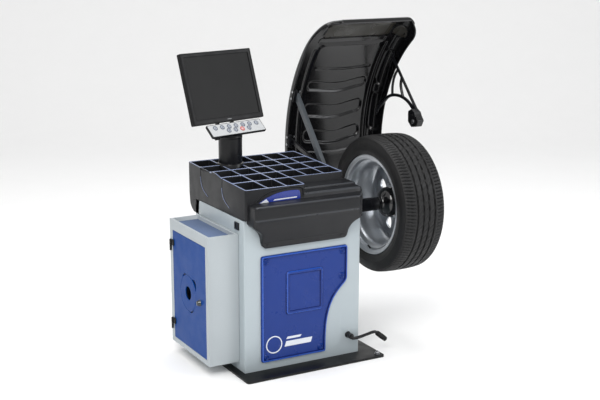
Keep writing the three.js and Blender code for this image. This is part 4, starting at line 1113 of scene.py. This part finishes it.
def tyre():
    profile, middle_x = tyre_profile()
    segments = TYRE_SIPES * 5
    rings = []
    for k in range(segments):
        angle = 2 * pi * k / segments
        turn = k / 5
        ring = []
        for x, r in profile:
            if r > 309 and abs(x - middle_x) < 100:
                r -= tread_cut(x - middle_x, turn)
            elif 239 < r < 300 and abs(x - middle_x) > 100:
                r_share = smooth_step(r, 285, 300)
                x += (0.5 if x > middle_x else -0.5) * r_share * (1 if int(turn * 2) % 2 else 0)
            ring.append(mm(x, axis_y + r * cos(angle), axis_z + r * sin(angle)))
        rings.append(ring)
    stands(wrapped("tyre_fine", rings, len(profile), "tyre_rubber", 45), "spindle", "tyre")


def rim():
    low, high = millimetres("wheel_rim")
    a, b = low.x, high.x
    f, s, w = 233.5, 218.0, 190.0      # radii of the flanges, the bead seats and the drop well
    barrel = [
        (a, f - 2.5), (a + 0.6, f - 0.6), (a + 2.5, f), (a + 4.4, f - 0.6), (a + 5.2, f - 3),
        (a + 6.4, s + 6), (a + 8.5, s + 2), (a + 13, s), (a + 24, s - 0.6), (a + 27, s + 0.6),
        (a + 29, s - 1), (a + 36, w + 6), (a + 42, w + 2), (a + 60, w), (b - 74, w), (b - 66, w + 4),
        (b - 44, s - 8), (b - 38, s - 4), (b - 26, s), (b - 9, s + 1), (b - 6.4, s + 6), (b - 5.2, f - 3),
        (b - 4.4, f - 0.6), (b - 2.5, f), (b - 0.6, f - 0.6), (b, f - 2.5), (b - 0.6, f - 5),
        (b - 3.4, f - 7), (b - 5.5, s - 1), (b - 8, s - 3.5), (b - 26, s - 5.5), (b - 42, s - 10),
        (b - 56, w + 4), (b - 68, w - 4), (b - 78, w - 6), (a + 62, w - 6), (a + 50, w - 5), (a + 40, w - 1),
        (a + 31, w + 6), (a + 24, s - 10), (a + 18, s - 7.5), (a + 12, s - 6.5), (a + 8, s - 5), (a + 6, s),
        (a + 5, f - 10), (a + 3.4, f - 7.4), (a + 0.8, f - 5),
    ]
    piece = turned("rim_barrel", barrel, "rim_alloy", (axis_y, axis_z), segments=192, smooth=28)
    face = 575.3                       # the disc's seat on the flange of the spindle
    disc = [
        (face, 34), (face, 62), (face + 1, 64), (face + 1, 76), (face + 2.5, 79), (590, 86), (598, 92),
        (610, 108), (620, 128), (626, 150), (629, 172), (630, 186), (632, 212), (642, 213), (640, 190),
        (638, 172), (634, 150), (628, 126), (620, 104), (614, 88), (606, 62), (600, 52), (598, 36), (597, 34),
    ]
    centre = turned("rim_disc", disc, "rim_alloy", (axis_y, axis_z), segments=160, smooth=28)
    cutters = []
    window = fillet([(-9, 100), (9, 100), (25, 176), (0, 187), (-25, 176)], 12)
    for k in range(10):
        turn = 2 * pi * k / 10
        c, n = cos(turn), sin(turn)
        outline = [(axis_y + u * c - v * n, axis_z + u * n + v * c) for u, v in window]
        cutters.append(slab("window", outline, "x", 560, 670, "rim_alloy"))
    for k in range(5):
        turn = 2 * pi * (k + 0.5) / 5
        spot = (axis_y + 56 * cos(turn), axis_z + 56 * sin(turn))
        cutters.append(turned("bolt_hole", bar_profile(560, 640, 8), "rim_alloy", spot, segments=24))
    carve(centre, together("windows", cutters))
    round_edges(centre, 2.2, 3, 40)
    stands(piece, "spindle", "wheel_rim")
    stands(centre, "spindle")
    valve = swept("valve", [(a + 14, axis_y, axis_z - s + 8), (a + 2, axis_y, axis_z - s + 22)], 4,
                  "black_plastic")
    stands(valve, "spindle")
    for k in range(6):
        turn = radians(230 + k * 3.6)
        x, r = a + 17, s - 9.2
        spot = Vector((x, axis_y + r * cos(turn), axis_z + r * sin(turn)))
        weight = block("stick_on_weight", (-8, 8), (-6, 6), (-1.6, 1.6), "steel", 0.8)
        weight.data.transform(Matrix.Translation(spot * MM) @ Matrix.Rotation(turn + pi / 2, 4, "X"))
        stands(weight, "spindle")


def spindle_parts():
    at = (axis_y, axis_z)
    flange = [(498, 17.8), (498, 28), (500, 30), (506, 31), (511, 34), (517, 42), (524, 53), (533, 63),
              (541, 68.6), (549, 71), (558, 71.6), (572, 71.6), (574.2, 70), (574.8, 66), (574.8, 53),
              (562, 46), (556, 30), (556, 17.8)]
    bell = turned("bell_flange", flange, "gloss_black", at, segments=128)
    stands(bell, "spindle", "mounting_flange", slot="black_steel")
    sleeve = [(96, 27.5), (96, 31), (448, 31), (449, 30), (452, 30), (453, 31), (488, 31), (491, 29.8),
              (491.6, 27.5)]
    stands(turned("housing_sleeve", sleeve, "black_steel", at, segments=96), "machine", "spindle_housing")
    cone = [(598.6, 17.8), (598.6, 32), (600, 34), (606, 38), (632, 49.4), (634, 50), (637, 50), (638, 49),
            (638, 17.8)]
    stands(turned("centring_cone_fine", cone, "steel", at, segments=96), "spindle", "centring_cone")
    body = [(639, 17.8), (639, 43), (640, 44.4), (647, 46), (650, 45), (660, 35.5), (664, 34), (698, 30.5),
            (702, 28.5), (704, 26), (704, 17.8)]
    nut = [turned("nut_body", body, "black_plastic", at, segments=96)]
    for side in (1, -1):
        handle = swept("handle", [(677, axis_y, axis_z + side * 24), (677, axis_y, axis_z + side * 72)], 9.4,
                       "black_plastic", 24)
        nut.append(handle)
    stands(together("quick_nut_fine", nut), "quick_nut", "quick_nut")
    shaft = [(60, 0), (60, 16.5), (61, 17.5), (640, 17.5), (642, 16.4)]
    for x in range(645, 737, 3):       # the thread that the quick nut clamps on
        shaft += [(x, 16.4), (x + 0.9, 17.5), (x + 1.5, 17.5), (x + 2.4, 16.4)]
    shaft += [(738, 16), (742, 13), (742, 0)]
    stands(turned("threaded_shaft", shaft, "steel", at, segments=64, smooth=60), "spindle", "spindle_shaft")


# ---------------------------------------------------------------- monitor, keypad and post
HEAD = Vector(JOINTS["monitor_swivel"]["pos_m"]) / MM
YAW = atan2(JOINTS["monitor_tilt"]["axis"][1], JOINTS["monitor_tilt"]["axis"][0])
MONITOR_FOOT = (-21, -26, 1048)    # lower front edge of the monitor, from the post's axis and the floor
TILT_PIN = (0, 58, 1088)           # axis of the monitor's tilt, in the same frame
SCREEN_TILT = radians(17.5)
KEYPAD_TILT = radians(47.5)


def head_frame(x, y, z, tilt):
    """A frame on the post's head: X across, Z up the panel, Y out of its back."""
    return (Matrix.Translation(mm(HEAD.x, HEAD.y, 0)) @ Matrix.Rotation(YAW, 4, "Z")
            @ Matrix.Translation(mm(x, y, z)) @ Matrix.Rotation(-tilt, 4, "X"))


def framed(thing, frame_matrix):
    thing.data.transform(frame_matrix)
    return thing


def picture_frame(name, outer, inner, y_front, y_inner, y_back, material, radius):
    """A bezel: a rounded border that slopes in towards the screen."""
    rings = [inset_ring(y, inset, *outer, radius)
             for inset, y in ((0, y_back), (0, y_front + 3), (0.9, y_front + 0.9), (3, y_front))]
    rings += [inset_ring(y, -inset, *inner, 2)
              for inset, y in ((1.6, y_front), (0.5, y_front + 0.6), (0, y_inner))]
    return loft(name, rings, material)


def monitor():
    frame_matrix = head_frame(*MONITOR_FOOT, SCREEN_TILT)
    w, h = 405.0, 322.0
    bezel = picture_frame("bezel", (-w / 2, w / 2, 0, h), (-w / 2 + 20, w / 2 - 20, 24, h - 18), 0, 4.2, 20,
                          "monitor_plastic", 5)
    steps = ((0, 17), (0, 22), (1.4, 24.6), (5, 26), (26, 28), (34, 31), (42, 38), (50, 42.5), (58, 44))
    rings = [inset_ring(y, inset, -w / 2, w / 2, 0, h, 5 + inset * 0.3) for inset, y in steps]
    back = loft("back", rings, "monitor_plastic")
    vents = []
    for k in range(26):
        x = -100 + 8 * k
        vents.append(slab("vent", rounded_rect(x - 1.6, x + 1.6, 218, 254, 1.5), "y", 41, 50, "pocket_dark"))
    carve(back, together("vents", vents))
    shell = together("monitor_case", [bezel, back])
    framed(shell, frame_matrix)
    soften(shell, 30)
    stands(shell, "monitor")
    panel = slab("lcd_panel", rounded_rect(-w / 2 + 20.2, w / 2 - 20.2, 24.2, h - 18.2, 1), "y", 3.2, 5,
                 "screen_glass")
    stands(framed(panel, frame_matrix), "monitor", "monitor_screen")
    badge = slab("monitor_badge", rounded_rect(-12, 12, 9.5, 14, 2), "y", -0.5, 1, "badge_grey", 0.3)
    stands(framed(badge, frame_matrix), "monitor", slot="monitor_plastic")
    mid, hinge_y, hinge_z = Vector(TILT_PIN) - Vector(MONITOR_FOOT)
    y = hinge_y * cos(SCREEN_TILT) - hinge_z * sin(SCREEN_TILT)
    z = hinge_y * sin(SCREEN_TILT) + hinge_z * cos(SCREEN_TILT)
    parts = [
        slab("plate", rounded_rect(mid - 34, mid + 34, z - 14, z + 70, 6), "y", 43, 49, "black_steel", 1),
        block("neck", (mid - 30, mid + 30), (44, y), (z - 9, z + 9), "black_steel", 1.5),
        turned("barrel", bar_profile(mid - 37, mid + 37, 11, 1), "black_steel", (y, z), segments=48),
        turned("pin", bar_profile(mid - 52, mid + 52, 6, 1), "black_steel", (y, z), segments=32),
    ]
    for bolt_x in (-22, 22):
        for bolt_z in (z + 4, z + 58):
            head = turned("bolt", [(48.5, 0), (48.5, 5), (51, 5), (52, 4), (52, 0)], "steel",
                          (mid + bolt_x, bolt_z), axis="y", segments=24)
            stands(framed(head, frame_matrix), "monitor")
    hinge = framed(together("monitor_hinge", parts), frame_matrix)
    stands(hinge, "monitor", "monitor_housing")


MARK = (-2.3, -1.8)                # front and back of the plain mark on each key


def keypad():
    frame_matrix = head_frame(-8, -57, 1021, KEYPAD_TILT)
    w, d, t = 310.0, 68.0, 13.0
    steps = ((2, t), (0.4, t - 0.6), (0, t - 2), (0, 1.8), (0.5, 0.6), (1.6, 0), (3, 0.0), (3.2, 0.9))
    rings = [inset_ring(y, inset, -w / 2, w / 2, -d / 2, d / 2, 5) for inset, y in steps]
    case = framed(loft("keypad_case", rings, "black_plastic"), frame_matrix)
    stands(case, "monitor_head", "keypad_housing")
    film = slab("keypad_sheet", rounded_rect(-w / 2 + 3.1, w / 2 - 3.1, -d / 2 + 3.1, d / 2 - 3.1, 3.5), "y",
                0.3, 2, "keypad_film")
    centres = [(-w / 2 + 38.5 + 39.7 * k, d / 2 - 21) for k in range(7)]
    centres += [(-w / 2 + 104 + 39 * k, d / 2 - 43) for k in range(4)]
    stands(framed(film, frame_matrix), "monitor_head")
    for number, (x, z) in enumerate(centres, 1):
        red = number == 10
        cap = [(2.4, 0), (2.4, 11.8), (-0.6, 11.8), (-1.5, 11.2), (-1.9, 10.2), (-1.6, 8.9), (-1.2, 8.3),
               (-1.9, 4), (-2.0, 0)]
        face = turned("key_cap", cap, "red_key_film" if red else "key_film", (x, z), axis="y", segments=40)
        stands(framed(face, frame_matrix), f"key_{number}", f"key_{number}")
        rim_profile = [(-1.75, 8.0), (-2.15, 8.6), (-2.3, 9.6), (-2.15, 10.8), (-1.7, 11.3), (-1.2, 9.6)]
        ring = turned("key_ring", rim_profile, "key_ring_red" if red else "key_ring", (x, z), axis="y",
                      segments=40)
        stands(framed(ring, frame_matrix), f"key_{number}", slot="key_film")
        ink = "badge_white" if red else "key_ring"
        if number % 3 == 2:
            mark = turned("mark", bar_profile(*MARK, 3.2, bore=1.6), ink, (x, z), axis="y", segments=24)
        else:
            wedge = [(x - 3, z - 2.4), (x + 3.4, z), (x - 3, z + 2.4)]
            dash = rounded_rect(x - 3.2, x + 3.2, z - 1.1, z + 1.1, 0.5)
            mark = slab("mark", dash if number % 3 else wedge, "y", *MARK, ink, 0.1)
        stands(framed(mark, frame_matrix), f"key_{number}", slot="key_film")
    bracket = framed(block("keypad_bracket", (-w / 2 + 18, -w / 2 + 44), (6, t + 8),
                           (-d / 2 - 3, -d / 2 + 12), "black_steel", 1.5), frame_matrix)
    stands(bracket, "monitor_head")


def post():
    low, high = millimetres("monitor_post")
    x, y, _ = middle("monitor_post")
    r = 54.0
    profile = [(low.z, 0), (low.z, r + 6), (851, r + 6), (853, r + 5), (854, r + 2.5), (855.5, r),
               (high.z - 2, r), (high.z, r - 2), (high.z, 0)]
    tube = turned("post_tube", profile, "black_steel", (x, y), axis="z", segments=128)
    stands(tube, "machine", "monitor_post")
    seam = turned("post_band", [(968, r - 1), (968, r + 0.6), (969, r + 1.2), (978, r + 1.2), (979, r + 0.6),
                                (979, r - 1)], "black_steel", (x, y), axis="z", segments=128)
    stands(seam, "machine")


# ---------------------------------------------------------------- tool box, door and pedal
LOCK_AT = [v / MM for v in JOINTS["door_lock_turn"]["pos_m"][1:]]


def tool_door():
    box_low, _ = millimetres("tool_box")
    x0, x1 = box_low.x + 1, box_low.x + 6
    y0, y1, z0, z1 = -167.5, 177.5, 74.5, 578.5
    leaf = slab("leaf", rounded_rect(y0, y1, z0, z1, 2.5), "x", x0, x1, "door_paint")
    hole_y, hole_z, ring = 19.0, 326.0, 82.0      # the round hole's centre and the groove round it
    cutters = [turned("hole", bar_profile(x0 - 5, x1 + 5, 31), "door_paint", (hole_y, hole_z), segments=64)]
    groove = [(x0 - 1, ring - 1.3), (x0 - 1, ring + 1.3), (x0 + 1.4, ring + 0.8), (x0 + 1.4, ring - 0.8)]
    cutters.append(turned("groove", groove, "door_paint", (hole_y, hole_z), segments=128))
    cutters.append(turned("lock_hole", bar_profile(x0 - 5, x1 + 5, 9), "door_paint", LOCK_AT, segments=32))
    for centre, half, deep in ((62, 15, 6), (140, 20, 21), (246, 17, 6)):
        arc = [(ring + 2, t) for t in (-1, -0.5, 0, 0.5, 1)]
        arc += [(ring + 2 + deep * (1 - t * t), t) for t in (0.85, 0.5, 0, -0.5, -0.85)]
        turns = [(r, radians(centre + half * t)) for r, t in arc]
        outline = [(hole_y + r * cos(a), hole_z + r * sin(a)) for r, a in turns]
        cutters.append(slab("crescent", outline, "x", x0 - 5, x1 + 5, "door_paint"))
    carve(leaf, together("door_cuts", cutters))
    paint(leaf, "door_paint")
    round_edges(leaf, 0.9, 2, 35)
    stands(leaf, "tool_door", "tool_door")
    hinge_x, hinge_y = [v / MM for v in JOINTS["tool_door_hinge"]["pos_m"][:2]]
    for z in (139, 509):
        knuckle = [(z + 0.4, 0), (z + 0.4, 4.6), (z + 1, 5.2), (z + 25, 5.2), (z + 26, 4.4), (z + 26, 0)]
        parts = [turned("knuckle", knuckle, "black_steel", (hinge_x, hinge_y), axis="z", segments=32),
                 turned("pin", bar_profile(z - 27, z + 28, 2), "black_steel",
                        (hinge_x, hinge_y), axis="z", segments=20),
                 block("strap", (hinge_x + 1, box_low.x + 1.2), (163, hinge_y), (z + 0.4, z + 26),
                       "black_steel", 0.6)]
        stands(together("door_hinge_half", parts), "tool_door")


def door_lock():
    x = millimetres("tool_box")[0].x + 1
    y, z = LOCK_AT
    knob = [(x - 14, 0), (x - 14, 8.4), (x - 13.4, 9.6), (x - 11, 10.4), (x - 9.4, 11.6), (x - 3, 12.6),
            (x - 0.6, 14), (x - 0.4, 14.6), (x + 1, 14.6), (x + 1, 8.4), (x + 9, 8.4), (x + 9, 0)]
    barrel = turned("knob", knob, "chrome_metal", (y, z), segments=64)
    slot = block("key_slot", (x - 16, x - 11), (y - 1.1, y + 1.1), (z - 6, z + 6), "pocket_dark", 0)
    carve(barrel, slot)
    paint(barrel, "chrome_metal")
    soften(barrel, 30)
    cam = block("cam", (x + 6, x + 9), (y - 55, y + 8), (z - 8, z + 8), "chrome_metal", 0.5)
    stands(together("lock", [barrel, cam]), "door_lock", "door_lock")


def pedal():
    pin = Vector(JOINTS["pedal_press"]["pos_m"]) / MM
    x, y, z = pin
    face = cabinet_low.y - 0.2
    boss = [(face, 0), (face, 15), (face - 2, 15), (face - 5.5, 14), (face - 8, 12), (face - 9, 8),
            (y - 13, 7.2), (y - 15, 6.8), (y - 16, 5.5), (y - 16, 0)]
    boss = turned("pedal_boss", boss, "black_steel", (x, z), axis="y", segments=64)
    stands(boss, "machine", "pedal_bracket")
    hub = bar_profile(y - 10, y + 10, 13, 1, bore=7.6)
    route = smooth_path([(x + 4, y, z - 7), (x + 14, y, z - 14), (x + 42, y, z - 14.5), (x + 92, y, z - 7),
                         (x + 118, y, z - 2.6), (x + 134, y, z - 3.4), (x + 143, y, z - 10)], steps=8)
    lever = [turned("hub", hub, "black_steel", (x, z), axis="y", segments=64),
             swept("lever", route, 7, "black_steel", 24)]
    stands(together("pedal_lever_fine", lever), "pedal", "pedal_lever")
    tip = Vector((x + 140.5, y, z - 8))
    run = Vector((0.78, 0, -0.63)).normalized()
    length = 66.0
    side = Vector((0, 1, 0))
    up = run.cross(side)
    turns = [2 * pi * k / 32 for k in range(32)]
    rings = []
    for k in range(67):
        t = k / 66
        ridge = 0.9 if (k % 4) < 2 and 4 < k < 62 else 0.0
        swell = 11.0 + 1.4 * sin(pi * t)
        end = min(1.0, sqrt(max(0.0, min(t, 1 - t) / 0.05)))
        spot, radius = tip + run * length * t, max(2.0, (swell - ridge) * end)
        rings.append([(spot + (side * cos(a) + up * sin(a)) * radius) * MM for a in turns])
    grip = loft("pedal_grip_fine", rings, "grip_rubber")
    stands(grip, "pedal", "pedal_grip")


def base_bolts():
    low, high = millimetres("base_plate")
    top = high.z
    corners = [(low.x + 20, high.y - 20), (high.x - 22, high.y - 20), (high.x - 22, low.y + 30)]
    for x, y in corners:
        nut = [(cos(pi / 3 * k) * 9.5 + x, sin(pi / 3 * k) * 9.5 + y) for k in range(6)]
        washer = [(top, 0), (top, 13), (top + 1.6, 13), (top + 2, 12.4), (top + 2, 0)]
        stud = [(top + 8, 0), (top + 8, 5), (top + 14, 5), (top + 15, 4), (top + 15, 0)]
        parts = [turned("washer", washer, "steel", (x, y), axis="z", segments=40),
                 slab("nut", nut, "z", top + 2, top + 9, "steel", 0.8),
                 turned("stud", stud, "steel", (x, y), axis="z", segments=24)]
        stands(together("anchor", parts), "machine")


def hood_bracket_screws():
    _, high = millimetres("hood_bearing_bracket")
    y = JOINTS["hood_hinge"]["pos_m"][1] / MM
    for dy in (-30, 30):
        for z in (640, 740):           # two rows, clear of the pivot's bearing
            screw("bracket_bolt", (high.x - 1.2, y + dy, z), (1, 0, 0), 6, "steel", "machine")


weight_tray()
tray_front_badge()
cowl_and_nose()
front_panel()
hood_shell()
hood_arm()
sensor_arm()
sensor_head()
tyre()
rim()
spindle_parts()
monitor()
keypad()
post()
tool_door()
door_lock()
pedal()
base_bolts()
hood_bracket_screws()

# CAD nodes that keep their shape
for node, material, *edges in (
        ("base_plate", "base_paint", 2.0, 3), ("cabinet_body", "cabinet_paint", 2.4, 3),
        ("cabinet_back_panel", "cabinet_paint", 0.8), ("power_inlet", "black_plastic", 0.8),
        ("spindle_bridge", "steel", 0.8), ("drive_motor", "black_steel", 1.2),
        ("bearing_rear", "steel", 0.3, 2, 40), ("bearing_front", "steel", 0.3, 2, 40),
        ("driven_pulley", "steel", 0.3, 2, 40), ("motor_pulley", "steel", 0.3, 2, 40),
        ("drive_belt", "belt_rubber", 0.0), ("hood_bearing_bracket", "black_steel", 1.2),
        ("monitor_yoke", "black_steel", 1.0), ("tool_box", "box_paint", 1.4, 3), ("tool_box_mat", "blue_mat",
                                                                                  0.8),
        ("door_hinge_low", "black_steel", 0.3), ("door_hinge_high", "black_steel", 0.3)):
    carry(node, material, *edges)

# ---------------------------------------------------------------- floor, light and camera
scene = bpy.context.scene


def soft_light(name, location, target, size, power, color=(1, 1, 1)):
    data = bpy.data.lights.new(name, "AREA")
    data.shape = "RECTANGLE"
    data.size, data.size_y = size
    data.energy = power
    data.color = color
    lamp = bpy.data.objects.new(name, data)
    scene.collection.objects.link(lamp)
    lamp.location = location
    lamp.rotation_euler = (Vector(target) - Vector(location)).to_track_quat("-Z", "Y").to_euler()
    return lamp


def studio():
    """A pale floor that sweeps up into a pale wall."""
    reach, bend, steps = 14.0, 3.0, 16
    wall = 5.0
    profile = [(-reach, 0.0), (wall, 0.0)]
    turns = [pi / 2 * k / steps for k in range(1, steps + 1)]
    profile += [(wall + bend * sin(a), bend - bend * cos(a)) for a in turns]
    profile.append((wall + bend, reach))
    points = [Vector((x, y, z)) for x in (-reach, reach) for y, z in profile]
    count = len(profile)
    faces = [(i, i + 1, i + 1 + count, i + count) for i in range(count - 1)]
    mesh = bpy.data.meshes.new("studio")
    mesh.from_pydata([tuple(p) for p in points], [], faces)
    floor = bpy.data.objects.new("studio_floor", mesh)
    scene.collection.objects.link(floor)
    mesh.polygons.foreach_set("use_smooth", [True] * len(mesh.polygons))
    mesh.materials.append(finish("studio_white", srgb(246, 246, 246), 0.85, 30, 0.02, 0.006))
    floor.rotation_euler = (0, 0, radians(-28.0))


studio()
world = bpy.data.worlds.new("studio_world")
world.use_nodes = True
world.node_tree.nodes["Background"].inputs["Color"].default_value = (1, 1, 1, 1)
world.node_tree.nodes["Background"].inputs["Strength"].default_value = 0.75
scene.world = world
centre = (0.1, 0.0, 0.75)
soft_light("key", (-2.6, -3.2, 4.2), centre, (2.6, 2.6), 150, (1.0, 0.99, 0.97))
soft_light("fill", (3.6, -3.0, 2.6), centre, (2.4, 3.0), 70, (0.95, 0.97, 1.0))
soft_light("top", (0.2, 0.6, 4.6), centre, (3.0, 2.0), 90)
scene.view_settings.view_transform = "Standard"

camera_data = bpy.data.cameras.new("photo_view")
camera_data.lens = 69.35
camera_data.sensor_width = 36.0
camera_data.shift_x = 0.0218
camera_data.shift_y = 0.0488
camera = bpy.data.objects.new("photo_view", camera_data)
scene.collection.objects.link(camera)
camera.location = (-2.3894, -4.4643, 1.8789)
aim = Vector((0.05141, 0.0, 0.56126)) - camera.location
camera.rotation_euler = aim.to_track_quat("-Z", "Y").to_euler()
scene.camera = camera
